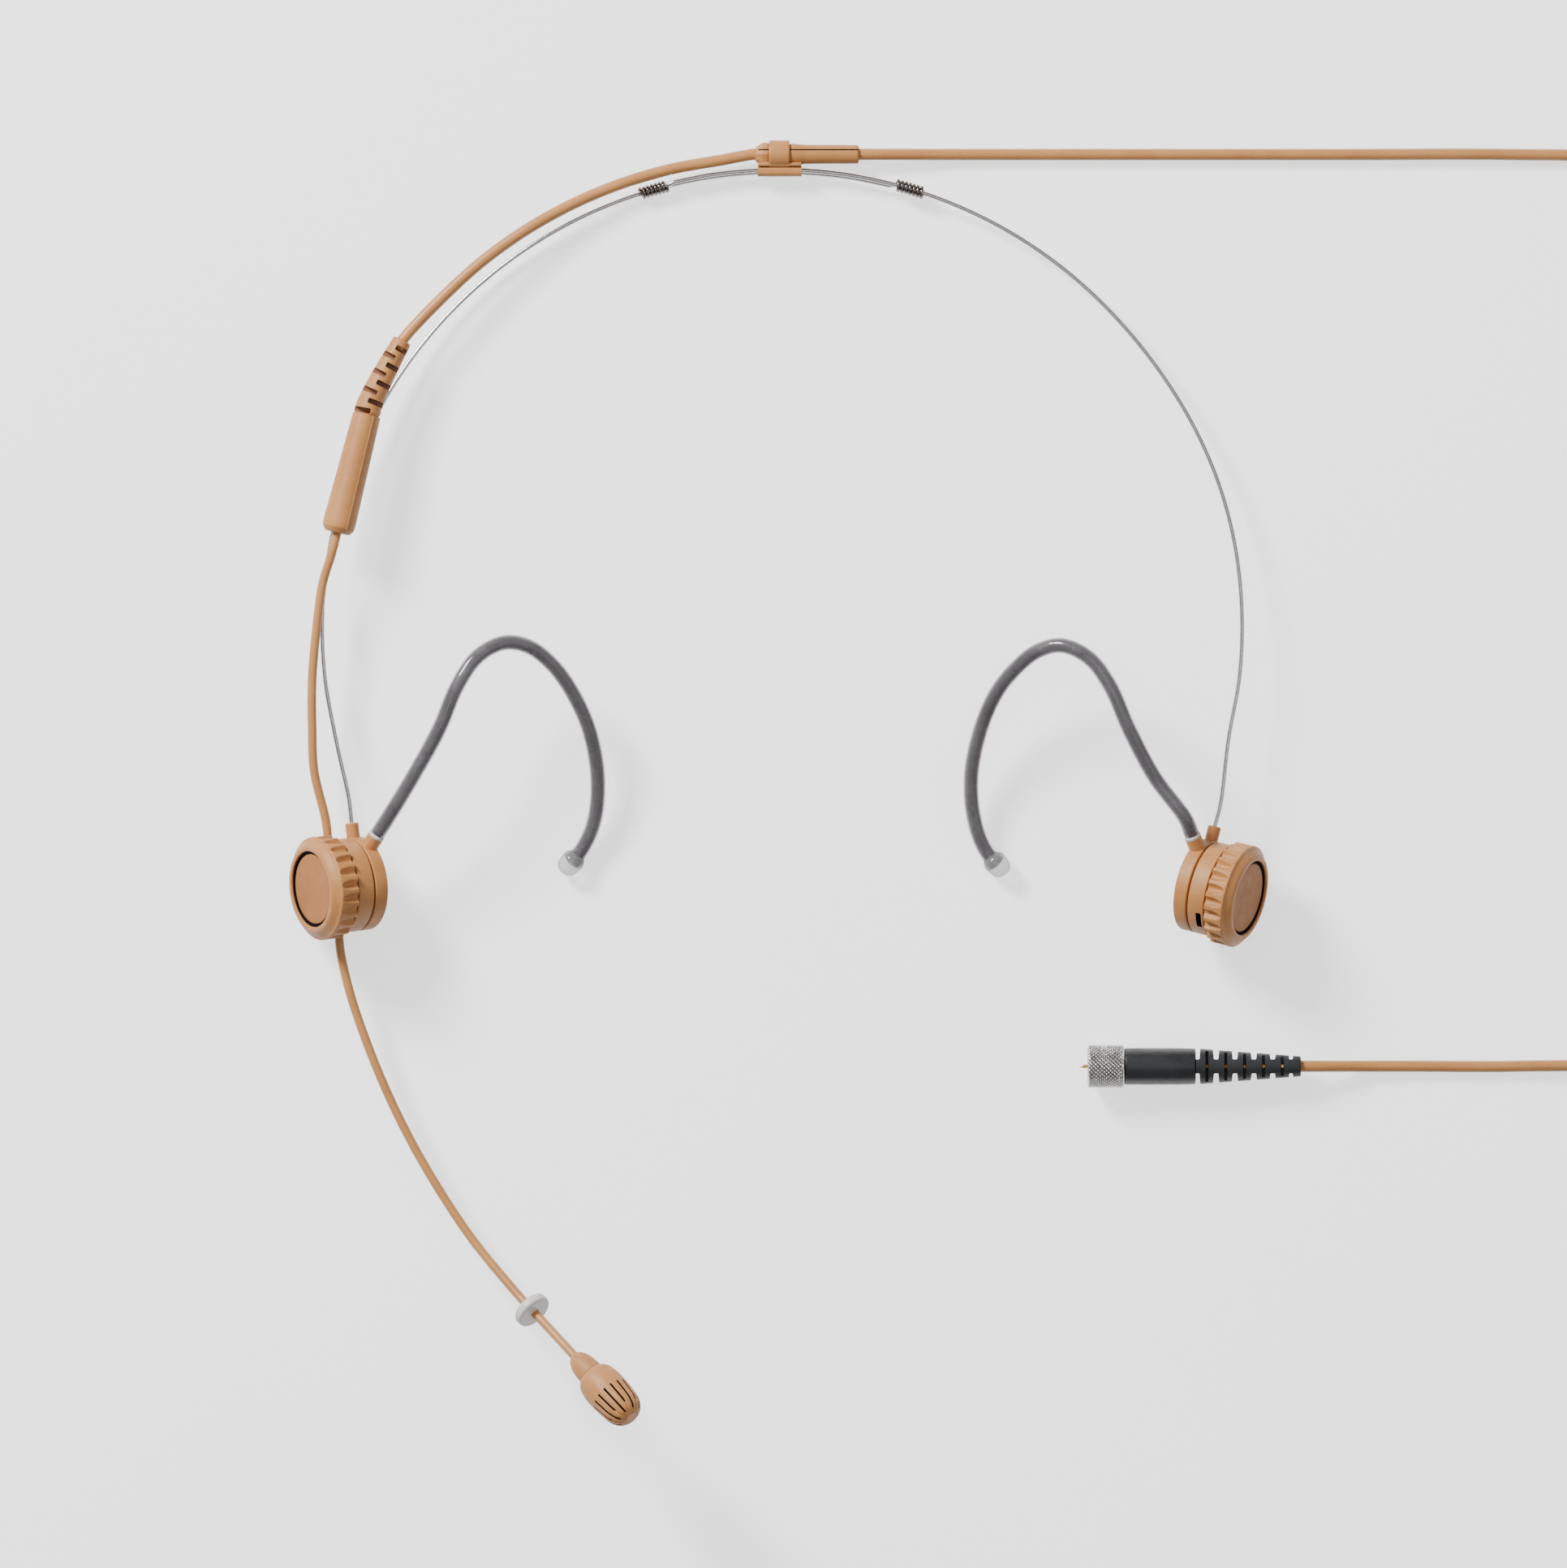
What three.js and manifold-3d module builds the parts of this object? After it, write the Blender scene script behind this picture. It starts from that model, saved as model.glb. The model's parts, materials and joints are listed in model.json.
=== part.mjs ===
// A headset microphone, laid flat: a two-wire band that slides to fit, a clamp hub with an ear hook
// at each end, a boom with a slotted capsule, and a lead with a threaded connector.
// Millimetres, +Z up. The band lies in the XY plane with its top towards +Y, on a surface at Z = 0.
import * as THREE from "three";
import { mergeVertices } from "three/addons/utils/BufferGeometryUtils.js";
import Module from "manifold-3d";

const wasm = await Module();
wasm.setup();

// ---------- driving dimensions ----------
const GAP = 0.3;
const SIDES = 20;

// Band: two spring wires on one circle, the left wire under the right one.
const BAND_CENTRE = new THREE.Vector2(0.2, 21.4);
const BAND_RADIUS = 63.4;
const WIRE_D = 0.6;
const LEFT_WIRE_Z = 1.3;
const RIGHT_WIRE_Z = LEFT_WIRE_Z + WIRE_D + GAP;
const WRAP_ANGLE_LEFT = 106;
const WRAP_ANGLE_RIGHT = 73.4;
const WRAP_LENGTH = 4.1;
const WRAP_D = 1.85;

// Clip at the top of the band.
const CLIP_X = 0.2;
const CLIP_RAIL_LENGTH = 6.3;
const CLIP_WALL = 0.4;
const CLIP_PLAY = 0.25;
const CLIP_LEAD_Y = BAND_CENTRE.y + BAND_RADIUS + WIRE_D / 2 + 2;
const CLIP_SLEEVE_LENGTH = 7.7;
const CLIP_SLEEVE_D = 2.8;

// Cables.
const LEAD_D = 1.6;
const THIN_D = 1.25;

// Inline joint.
const INLINE_D = 4.6;
const INLINE_TOP_D = 3.9;
const INLINE_BARREL_LENGTH = 16.8;

// Hubs: where each stands on the band's circle, and how it is turned and tilted as it lies.
const HUB_SPREAD = 4.05;
const LEFT_HUB_ANGLE = 211.7;
const RIGHT_HUB_ANGLE = -31.8;
const LEFT_TURN = 6.5;
const RIGHT_TURN = 14.3;
const LEFT_TILT = 30.5;
const RIGHT_TILT = 22.8;

// Hub stack along its axis, from the pad that faces the head to the cap.
const PAD_D = 13;
const PAD_T = 2.05;
const RING_T = 2.45;
const KNOB_D = 14.4;
const KNOB_T = 3.85;
const KNOB_MOUTH_D = 10.6;
const KNOB_MOUTH_DEPTH = 0.9;
const KNOB_FLUTES = 24;
const FLUTE_DEPTH = 0.45;
const FLUTED_T = 1.9;
const LAYER_GAP = 0.25;
const CAP_D = 9.9;
const CAP_T = 0.6;
const STUD_D = 2.8;
const STUD_HEAD_D = 5.2;
const STUD_HEAD_T = 0.8;
const INSERT_D = 5.4;
const WASHER_D = 7.8;
const WASHER_T = 0.5;
const STUD_CLEARANCE = 0.12;
const WIRE_SOCKET_D = 1.85;
const WIRE_SOCKET_REACH = 8.5;
const WIRE_SOCKET_Z = 1.1;
const HOOK_SOCKET_D = 2.3;
const HOOK_SOCKET_ANGLE = 38;
const HOOK_SOCKET_REACH = 8.2;
const BOOM_CHORD = 2.5;
const BOOM_Z = PAD_T + LAYER_GAP + 1.45;
const BOOM_CHANNEL_W = 1.9;
const BOOM_TAIL = 2.5;

// Ear hooks.
const HOOK_SLEEVE_D = 2.2;
const HOOK_WIRE_D = 0.7;
const HOOK_TIP_D = 3.3;
const HOOK_TIP_LENGTH = 3.6;

// Microphone, held up off the surface at the end of the boom.
const MIC_Z = 16;
const MIC_TILT = 30;
const MIC_BOOT_LENGTH = 4.2;
const MIC_BOOT_D = 3.6;
const CAP_LENGTH = 9.1;
const FREQ_CAP_D = 6;
const FREQ_CAP_WALL = 0.5;
const MIC_SLITS = 16;
const CAN_D = 4.2;
const CAN_LENGTH = 5;
const DRIP_RING_BACK = 10;
const DRIP_RING_D = 5.2;
const DRIP_RING_T = 1.5;

// Connector.
const PLUG_Y = -39.5;
const NUT_D = 5.9;
const NUT_LENGTH = 5.1;
const NUT_RIDGES = 20;
const BODY_D = 5.1;
const BODY_LENGTH = 9.9;
const RELIEF_LENGTH = 14.6;
const RELIEF_BLOCKS = 5;
const RELIEF_END_D = 2.8;
const RELIEF_NECK_D = 1.9;
const NUT_FACE_X = 43;
const PLUG_Z = NUT_D / 2;

// Lead coil, out of the way beyond the hubs.
const COIL_X = 131;
const COIL_Y = 24;
const COIL_MEAN_D = 25;
const COIL_ROWS = 4;

// ---------- helpers ----------
const Z_AXIS = new THREE.Vector3(0, 0, 1);
const root = new THREE.Group();

function solid(geometry) {
  const bare = new THREE.BufferGeometry();
  const plain = geometry.index ? geometry.toNonIndexed() : geometry;
  bare.setAttribute("position", plain.getAttribute("position"));
  const merged = mergeVertices(bare, 1e-4);
  return new wasm.Manifold(
    new wasm.Mesh({
      numProp: 3,
      vertProperties: merged.attributes.position.array,
      triVerts: new Uint32Array(merged.index.array),
    }),
  );
}

function geometryOf(body) {
  const mesh = body.getMesh();
  return new THREE.BufferGeometry()
    .setAttribute("position", new THREE.BufferAttribute(new Float32Array(mesh.vertProperties), 3))
    .setIndex(new THREE.BufferAttribute(new Uint32Array(mesh.triVerts), 1));
}

const join = (first, ...others) => others.reduce((sum, other) => sum.add(other), first);
const cut = (first, ...others) => others.reduce((sum, other) => sum.subtract(other), first);

// A turned part about +Z from [radius, z] pairs.
function turned(profile, sides = SIDES) {
  const points = profile.map(([r, z]) => new THREE.Vector2(r, z));
  return new THREE.LatheGeometry(points, sides).rotateX(Math.PI / 2);
}

function rod(diameter, from, to, sides = SIDES) {
  const r = diameter / 2;
  return turned([[0, from], [r, from], [r, to], [0, to]], sides);
}

function pipe(outer, inner, from, to, sides = SIDES) {
  const ro = outer / 2;
  const ri = inner / 2;
  return turned([[ri, from], [ro, from], [ro, to], [ri, to], [ri, from]], sides);
}

function box(sizeX, sizeY, sizeZ, x, y, z) {
  return new THREE.BoxGeometry(sizeX, sizeY, sizeZ).translate(x, y, z);
}

const vec = ([x, y, z]) => new THREE.Vector3(x, y, z);
const smooth = (points) => new THREE.CatmullRomCurve3(points.map(vec), false, "centripetal");

// A closed round bar along a curve.
function bar(curve, diameter, steps, sides = 8) {
  const section = new THREE.Shape();
  for (let i = 0; i < sides; i++) {
    const angle = (2 * Math.PI * i) / sides;
    section[i ? "lineTo" : "moveTo"](
      (diameter / 2) * Math.cos(angle),
      (diameter / 2) * Math.sin(angle),
    );
  }
  return new THREE.ExtrudeGeometry(section, { steps, extrudePath: curve, curveSegments: sides });
}

function add(name, geometry, finish, parent = root) {
  const mesh = new THREE.Mesh(geometry, new THREE.MeshStandardMaterial(finish));
  mesh.name = name;
  parent.add(mesh);
  return mesh;
}

// Aims local +Z of a group along a direction, from a point.
function aimed(point, direction) {
  const group = new THREE.Group();
  group.position.copy(point);
  group.quaternion.setFromUnitVectors(Z_AXIS, direction.clone().normalize());
  root.add(group);
  return group;
}

const TAN = { color: 0xc49b76, roughness: 0.55, metalness: 0 };
const TAN_CABLE = { color: 0xcaa37e, roughness: 0.45, metalness: 0 };
const STEEL = { color: 0xb8b8bc, roughness: 0.25, metalness: 1 };
const DARK_STEEL = { color: 0x6d655c, roughness: 0.3, metalness: 1 };
const BRASS = { color: 0xc9a24a, roughness: 0.3, metalness: 1 };
const BLACK = { color: 0x232427, roughness: 0.5, metalness: 0 };
const SLEEVE = { color: 0x504b50, roughness: 0.3, metalness: 0 };
const CLEAR = { color: 0xdedede, roughness: 0.15, metalness: 0 };
const WHITE = { color: 0xeeeeea, roughness: 0.5, metalness: 0 };

// A round bar along a curve whose radius follows radiusAt(t), t from 0 to 1.
function taperedBar(curve, radiusAt, steps, sides = 12) {
  const frames = curve.computeFrenetFrames(steps, false);
  const positions = [];
  const index = [];
  for (let i = 0; i <= steps; i++) {
    const t = i / steps;
    const centre = curve.getPointAt(t);
    const radius = radiusAt(t);
    for (let j = 0; j < sides; j++) {
      const angle = (2 * Math.PI * j) / sides;
      const ring = centre
        .clone()
        .addScaledVector(frames.normals[i], radius * Math.cos(angle))
        .addScaledVector(frames.binormals[i], radius * Math.sin(angle));
      positions.push(...ring.toArray());
    }
  }
  for (let i = 0; i < steps; i++) {
    for (let j = 0; j < sides; j++) {
      const a = i * sides + j;
      const b = i * sides + ((j + 1) % sides);
      index.push(a, b, a + sides, b, b + sides, a + sides);
    }
  }
  const last = steps * sides;
  for (let j = 1; j < sides - 1; j++) {
    index.push(0, j + 1, j);
    index.push(last, last + j, last + j + 1);
  }
  return new THREE.BufferGeometry()
    .setAttribute("position", new THREE.Float32BufferAttribute(positions, 3))
    .setIndex(index);
}

const radians = THREE.MathUtils.degToRad;
const ease = THREE.MathUtils.smoothstep;

// A point on or near the band's circle.
function bandPoint(angle, z, spread = 0) {
  const r = BAND_RADIUS + spread;
  const a = radians(angle);
  return [BAND_CENTRE.x + r * Math.cos(a), BAND_CENTRE.y + r * Math.sin(a), z];
}

// ---------- hub frames ----------
// Local X points away from the table, local Y towards the band, local Z out to the knob.
// side is 1 for the left hub and -1 for the right one, which is its mirror image.
function hubFrame(side, base, azimuth, elevation) {
  const a = radians(azimuth);
  const e = radians(elevation);
  const axis = new THREE.Vector3(-side * Math.cos(e) * Math.cos(a), -Math.cos(e) * Math.sin(a), Math.sin(e));
  const up = new THREE.Vector3(-side * Math.sin(a), Math.cos(a), 0);
  const across = up.clone().cross(axis);
  const group = new THREE.Group();
  group.position.set(...base);
  group.quaternion.setFromRotationMatrix(new THREE.Matrix4().makeBasis(across, up, axis));
  root.add(group);
  group.updateMatrixWorld(true);
  const at = (x, y, z) => group.localToWorld(new THREE.Vector3(side * x, y, z));
  const toward = (x, y, z) => at(x, y, z).sub(at(0, 0, 0)).normalize();
  return { side, group, at, toward };
}

const padLift = (tilt) => (PAD_D / 2) * Math.cos(radians(tilt)) + 0.05;
const LEFT_PLACE = bandPoint(LEFT_HUB_ANGLE, padLift(LEFT_TILT), HUB_SPREAD);
const RIGHT_PLACE = bandPoint(RIGHT_HUB_ANGLE, padLift(RIGHT_TILT), HUB_SPREAD);
const leftHub = hubFrame(1, LEFT_PLACE, LEFT_TURN, LEFT_TILT);
const rightHub = hubFrame(-1, RIGHT_PLACE, RIGHT_TURN, RIGHT_TILT);

// Turns a route given from a hub's middle into the whole part's frame.
const fromHub = (place, route) => route.map(([x, y, z]) => [place[0] + x, place[1] + y, z]);

const WIRE_START_Y = WIRE_SOCKET_REACH + GAP;

// ---------- band ----------
// One band wire: flat round the top, then rising to the socket on its hub.
function bandWire(hub, z, endAngle, spreadMost) {
  const low = hub.at(0, WIRE_START_Y, WIRE_SOCKET_Z);
  const next = hub.at(0, WIRE_START_Y + 3, WIRE_SOCKET_Z);
  const points = [low.toArray(), next.toArray()];
  const mirror = (angle) => (hub.side > 0 ? 180 - angle : angle);
  for (let angle = -14; angle < mirror(endAngle) - 4; angle += 8) {
    const height = z + (low.z - z) * (1 - ease(angle, -22, 55));
    const spread = spreadMost * (1 - ease(angle, 10, 42));
    points.push(bandPoint(mirror(angle), height, spread));
  }
  points.push(bandPoint(endAngle, z));
  return bar(smooth(points), WIRE_D, 36, 6);
}

const wrapHalf = THREE.MathUtils.radToDeg(WRAP_LENGTH / 2 / BAND_RADIUS);
const gapAngle = THREE.MathUtils.radToDeg(GAP / BAND_RADIUS);
const leftWireEnd = WRAP_ANGLE_RIGHT + wrapHalf + gapAngle;
const rightWireEnd = WRAP_ANGLE_LEFT - wrapHalf - gapAngle;
add("left_band_wire", bandWire(leftHub, LEFT_WIRE_Z, leftWireEnd, 0), STEEL);
add("right_band_wire", bandWire(rightHub, RIGHT_WIRE_Z, rightWireEnd, 0.8), STEEL);

function wireWrap(name, angle, z) {
  const centre = vec(bandPoint(angle, z));
  const along = new THREE.Vector3(-Math.sin(radians(angle)), Math.cos(radians(angle)), 0);
  const bore = WIRE_D + 2 * 0.2;
  const coil = pipe(WRAP_D, bore, -WRAP_LENGTH / 2, WRAP_LENGTH / 2, 16);
  add(name, coil, DARK_STEEL, aimed(centre, along));
}
wireWrap("left_wire_wrap", WRAP_ANGLE_LEFT, LEFT_WIRE_Z);
wireWrap("right_wire_wrap", WRAP_ANGLE_RIGHT, RIGHT_WIRE_Z);

// ---------- clip ----------
const RAIL_SLOT_W = WIRE_D + 2 * CLIP_PLAY;
const RAIL_SLOT_LOW = LEFT_WIRE_Z - WIRE_D / 2 - CLIP_PLAY / 2;
const RAIL_SLOT_HIGH = RIGHT_WIRE_Z + WIRE_D / 2 + CLIP_PLAY / 2;
const RAIL_Y = BAND_CENTRE.y + BAND_RADIUS;
const STRAP_BORE = CLIP_SLEEVE_D + 0.3;
const STRAP_D = STRAP_BORE + 2 * CLIP_WALL;
const SLEEVE_FROM = CLIP_X - 3.3;
const SLEEVE_TO = CLIP_X + 3.4 + CLIP_SLEEVE_LENGTH;

function alongX(geometry, x, y, z) {
  return geometry.rotateY(Math.PI / 2).translate(x, y, z);
}

function clipRail() {
  const high = RAIL_SLOT_HIGH + CLIP_WALL;
  const low = RAIL_SLOT_LOW - CLIP_WALL;
  const outer = box(
    CLIP_RAIL_LENGTH, RAIL_SLOT_W + 2 * CLIP_WALL, high - low,
    CLIP_X, RAIL_Y, (high + low) / 2,
  );
  const slot = box(
    CLIP_RAIL_LENGTH + 2, RAIL_SLOT_W, RAIL_SLOT_HIGH - RAIL_SLOT_LOW,
    CLIP_X, RAIL_Y - 0.04, (RAIL_SLOT_HIGH + RAIL_SLOT_LOW) / 2,
  );
  const strap = alongX(rod(STRAP_D, -1.6, 1.7), CLIP_X, CLIP_LEAD_Y, STRAP_D / 2);
  const bore = alongX(rod(STRAP_BORE, -4, 4), CLIP_X, CLIP_LEAD_Y, STRAP_D / 2);
  return geometryOf(cut(join(solid(outer), solid(strap)), solid(slot), solid(bore)));
}
add("clip_body", clipRail(), TAN);

const sleeveProfile = [
  [0, 0], [LEAD_D / 2 + 0.25, 0], [CLIP_SLEEVE_D / 2, 1.7], [CLIP_SLEEVE_D / 2, 5.0],
  [CLIP_SLEEVE_D / 2 + 0.08, 5.3], [CLIP_SLEEVE_D / 2, 6.7],
  [CLIP_SLEEVE_D / 2, SLEEVE_TO - SLEEVE_FROM], [0, SLEEVE_TO - SLEEVE_FROM],
];
add("clip_sleeve", alongX(turned(sleeveProfile, 16), SLEEVE_FROM, CLIP_LEAD_Y, STRAP_D / 2), TAN);

// ---------- inline joint and the fixed cables ----------
const INLINE_LOW = vec(bandPoint(167.9, 7.3, -0.7));
const INLINE_MID = vec(bandPoint(155.5, 6.7, 0.3));
const inlineAxis = INLINE_MID.clone().sub(INLINE_LOW).normalize();
const inlineAt = (distance) => INLINE_LOW.clone().addScaledVector(inlineAxis, distance).toArray();

const CORE_D = 2.4;
const inlineGroup = aimed(INLINE_LOW, inlineAxis);
const barrelBore = CORE_D / 2 + GAP;
const barrelProfile = [
  [THIN_D / 2 + GAP, 0], [INLINE_D / 2 - 0.5, 0], [INLINE_D / 2, 0.7],
  [INLINE_TOP_D / 2, INLINE_BARREL_LENGTH],
  [barrelBore, INLINE_BARREL_LENGTH], [barrelBore, 1.2], [THIN_D / 2 + GAP, 1.2], [THIN_D / 2 + GAP, 0],
];
add("inline_joint", turned(barrelProfile), TAN, inlineGroup);
add("inline_core", rod(CORE_D, 3, INLINE_BARREL_LENGTH - 0.6, 12), BRASS, inlineGroup);

const RELIEF_TOP = bandPoint(142.7, 6.0, 2.3);
const inlineReliefCurve = smooth([
  inlineAt(INLINE_BARREL_LENGTH + GAP),
  inlineAt(INLINE_BARREL_LENGTH + 1.4),
  bandPoint(149.1, 6.4, 1.55),
  bandPoint(146, 6.2, 1.85),
  RELIEF_TOP,
]);
const inlineRelief = (t) => THREE.MathUtils.lerp(INLINE_TOP_D / 2 - 0.1, LEAD_D / 2 + 0.55, t);
add("inline_relief", taperedBar(inlineReliefCurve, inlineRelief, 8), TAN);

const bandCableRoute = [[SLEEVE_FROM - GAP, CLIP_LEAD_Y, STRAP_D / 2]];
for (let angle = 97; angle < 139; angle += 6.5) {
  bandCableRoute.push(bandPoint(angle, 1.9 + 4.1 * ease(angle, 95, 146), 2.0));
}
bandCableRoute.push(bandPoint(142.3, 6.0, 2.3));
add("band_cable", bar(smooth(bandCableRoute), LEAD_D, 20), TAN_CABLE);

// The thin cable ends at the clamp ring, on the line of the boom.
const ringEntry = leftHub.at(-BOOM_CHORD, PAD_D / 2 + GAP, BOOM_Z);
const ringAbove = leftHub.at(-BOOM_CHORD, PAD_D / 2 + GAP + 2.5, BOOM_Z);
const hubCableRoute = [
  inlineAt(-GAP), inlineAt(-3), bandPoint(174.5, 7.0, 0.2), bandPoint(180.4, 6.7, 0.8),
  bandPoint(186.5, 6.3, 1.8), bandPoint(192.3, 6.0, 2.9), bandPoint(197.1, 5.8, 4.1),
  ringAbove.toArray(), ringEntry.toArray(),
];
add("hub_cable", bar(smooth(hubCableRoute), THIN_D, 18), TAN_CABLE);

// ---------- hubs ----------
const RING_Z = PAD_T + LAYER_GAP;
const KNOB_Z = RING_Z + RING_T + LAYER_GAP;
const HUB_T = KNOB_Z + KNOB_T;
const RECESS_T = 0.6;

function clampRing(hub) {
  const bore = STUD_D + 2 * STUD_CLEARANCE;
  const ring = pipe(PAD_D, bore, RING_Z, RING_Z + RING_T, 24);
  const top = RING_Z + RING_T + 1;
  const floor = BOOM_Z - THIN_D / 2 - GAP;
  const channel = box(
    BOOM_CHANNEL_W, PAD_D + 2, top - floor,
    -hub.side * BOOM_CHORD, 0, (top + floor) / 2,
  );
  const keySlot = box(0.9, 2.4, 1.2, -hub.side * 4.6, -PAD_D / 2, RING_Z + RING_T - 0.3);
  return geometryOf(cut(solid(ring), solid(channel), solid(keySlot)));
}

function hubBase(hub) {
  const bore = STUD_D + 2 * STUD_CLEARANCE;
  const disc = turned([
    [bore / 2, STUD_HEAD_T + GAP], [STUD_HEAD_D / 2 + GAP, STUD_HEAD_T + GAP], [STUD_HEAD_D / 2 + GAP, 0],
    [PAD_D / 2 - 0.25, 0], [PAD_D / 2, 0.25], [PAD_D / 2, PAD_T],
    [WASHER_D / 2 + GAP, PAD_T], [WASHER_D / 2 + GAP, PAD_T - RECESS_T],
    [bore / 2, PAD_T - RECESS_T], [bore / 2, STUD_HEAD_T + GAP],
  ], 24);
  const wireSocket = rod(WIRE_SOCKET_D, 0, WIRE_SOCKET_REACH - PAD_D / 2 + 0.8, 12)
    .rotateX(-Math.PI / 2)
    .translate(0, PAD_D / 2 - 0.8, WIRE_SOCKET_Z);
  return geometryOf(join(solid(disc), solid(wireSocket), solid(hookSocket(hub))));
}

// The hook's socket leaves the rim part way round, leaning back towards the head.
const hookLocal = (hub) => new THREE.Vector3(hub.side * 0.62, 0.72, -0.33).normalize();
function hookMouth(hub) {
  const a = radians(HOOK_SOCKET_ANGLE);
  return new THREE.Vector3(
    hub.side * HOOK_SOCKET_REACH * Math.sin(a),
    HOOK_SOCKET_REACH * Math.cos(a),
    0.2,
  );
}
function hookSocket(hub) {
  const socket = rod(HOOK_SOCKET_D, -2.3, 0, 12);
  const turn = new THREE.Quaternion().setFromUnitVectors(Z_AXIS, hookLocal(hub));
  return socket.applyQuaternion(turn).translate(...hookMouth(hub).toArray());
}

function flutedOutline() {
  const shape = new THREE.Shape();
  const perFlute = 3;
  const count = KNOB_FLUTES * perFlute;
  for (let i = 0; i < count; i++) {
    const angle = (2 * Math.PI * i) / count;
    const dip = i % perFlute === 0 ? FLUTE_DEPTH : 0;
    const r = KNOB_D / 2 - dip;
    shape[i ? "lineTo" : "moveTo"](r * Math.cos(angle), r * Math.sin(angle));
  }
  return shape;
}

function lockKnob() {
  const fluted = new THREE.ExtrudeGeometry(flutedOutline(), { depth: FLUTED_T, bevelEnabled: false });
  const r = KNOB_D / 2;
  const front = turned([
    [0, 0], [r - FLUTE_DEPTH, 0], [r, 0.5], [r, 0.9], [r - 0.5, KNOB_T - FLUTED_T - 0.2],
    [KNOB_MOUTH_D / 2 + 0.4, KNOB_T - FLUTED_T], [0, KNOB_T - FLUTED_T],
  ], 24).translate(0, 0, FLUTED_T);
  const mouth = rod(KNOB_MOUTH_D, KNOB_T - KNOB_MOUTH_DEPTH, KNOB_T + 1, 24);
  const pocket = rod(INSERT_D + 2 * STUD_CLEARANCE, -1, KNOB_T - KNOB_MOUTH_DEPTH - 0.5, 6);
  const body = cut(join(solid(fluted), solid(front)), solid(mouth), solid(pocket));
  return geometryOf(body).translate(0, 0, KNOB_Z);
}

// The insert runs on the stud and sits in the hexagon pocket of the knob, under the cap.
const INSERT_LENGTH = KNOB_T - KNOB_MOUTH_DEPTH - 0.5 - GAP;
const STUD_TOP = KNOB_Z + INSERT_LENGTH - 0.2;

for (const [label, hub] of [["left", leftHub], ["right", rightHub]]) {
  add(label + "_hub_base", hubBase(hub), TAN, hub.group);
  const stud = turned([
    [0, 0.1], [STUD_HEAD_D / 2, 0.1], [STUD_HEAD_D / 2, STUD_HEAD_T], [STUD_D / 2, STUD_HEAD_T],
    [STUD_D / 2, STUD_TOP], [0, STUD_TOP],
  ]);
  add(label + "_clamp_stud", stud, BRASS, hub.group);
  const washerLow = PAD_T - RECESS_T + 0.15;
  const washer = pipe(WASHER_D, STUD_D + 0.8, washerLow, washerLow + WASHER_T);
  add(label + "_spring_washer", washer, STEEL, hub.group);
  add(label + "_clamp_ring", clampRing(hub), TAN, hub.group);
  add(label + "_lock_knob", lockKnob(), TAN, hub.group);
  const insertBore = STUD_D + 2 * STUD_CLEARANCE;
  const hexagon = rod(INSERT_D, KNOB_Z + 0.1, KNOB_Z + INSERT_LENGTH, 6);
  const insert = cut(solid(hexagon), solid(rod(insertBore, KNOB_Z - 1, KNOB_Z + KNOB_T)));
  add(label + "_knob_insert", geometryOf(insert), BRASS, hub.group);
  const capLow = HUB_T - KNOB_MOUTH_DEPTH + 0.1;
  add(label + "_knob_cap", rod(CAP_D, capLow, capLow + CAP_T, 24), TAN, hub.group);
}

// ---------- ear hooks ----------
// Each route is followed from the socket, over the ear and down to the tip.
function earHook(label, hub, route) {
  const mouth = hub.group.localToWorld(hookMouth(hub));
  const heading = hub.group.localToWorld(hookLocal(hub)).sub(hub.group.position).normalize();
  const start = (distance) => mouth.clone().addScaledVector(heading, distance).toArray();
  const curve = smooth([start(GAP), start(3), ...route]);
  const split = 1 - HOOK_TIP_LENGTH / curve.getLength();
  const part = (from, to, count) => {
    const points = [];
    for (let i = 0; i <= count; i++) points.push(curve.getPointAt(from + ((to - from) * i) / count));
    return new THREE.CatmullRomCurve3(points, false, "centripetal");
  };
  const sleeveEnd = split - GAP / curve.getLength();
  const outer = solid(bar(part(0, sleeveEnd, 30), HOOK_SLEEVE_D, 24, 8));
  const wireCurve = part(0, sleeveEnd - 1 / curve.getLength(), 30);
  const bore = solid(bar(part(0, sleeveEnd - 0.5 / curve.getLength(), 30), HOOK_WIRE_D + 2 * GAP, 24, 6));
  const openEnd = solid(new THREE.SphereGeometry(HOOK_WIRE_D / 2 + GAP, 8, 6).translate(...start(GAP)));
  add(label + "_hook_sleeve", geometryOf(cut(outer, bore, openEnd)), SLEEVE);
  add(label + "_hook_wire", bar(wireCurve, HOOK_WIRE_D, 24, 6), STEEL);
  const bulb = (t) => {
    const swell = Math.sin(Math.PI * Math.min(1, 0.18 + 0.8 * t));
    return HOOK_TIP_D / 2 * (0.72 + 0.28 * swell) * (t > 0.85 ? Math.sqrt(1 - ((t - 0.85) / 0.17) ** 2) : 1);
  };
  add(label + "_hook_tip", taperedBar(part(split, 1, 8), bulb, 8, 10), CLEAR);
}

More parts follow.
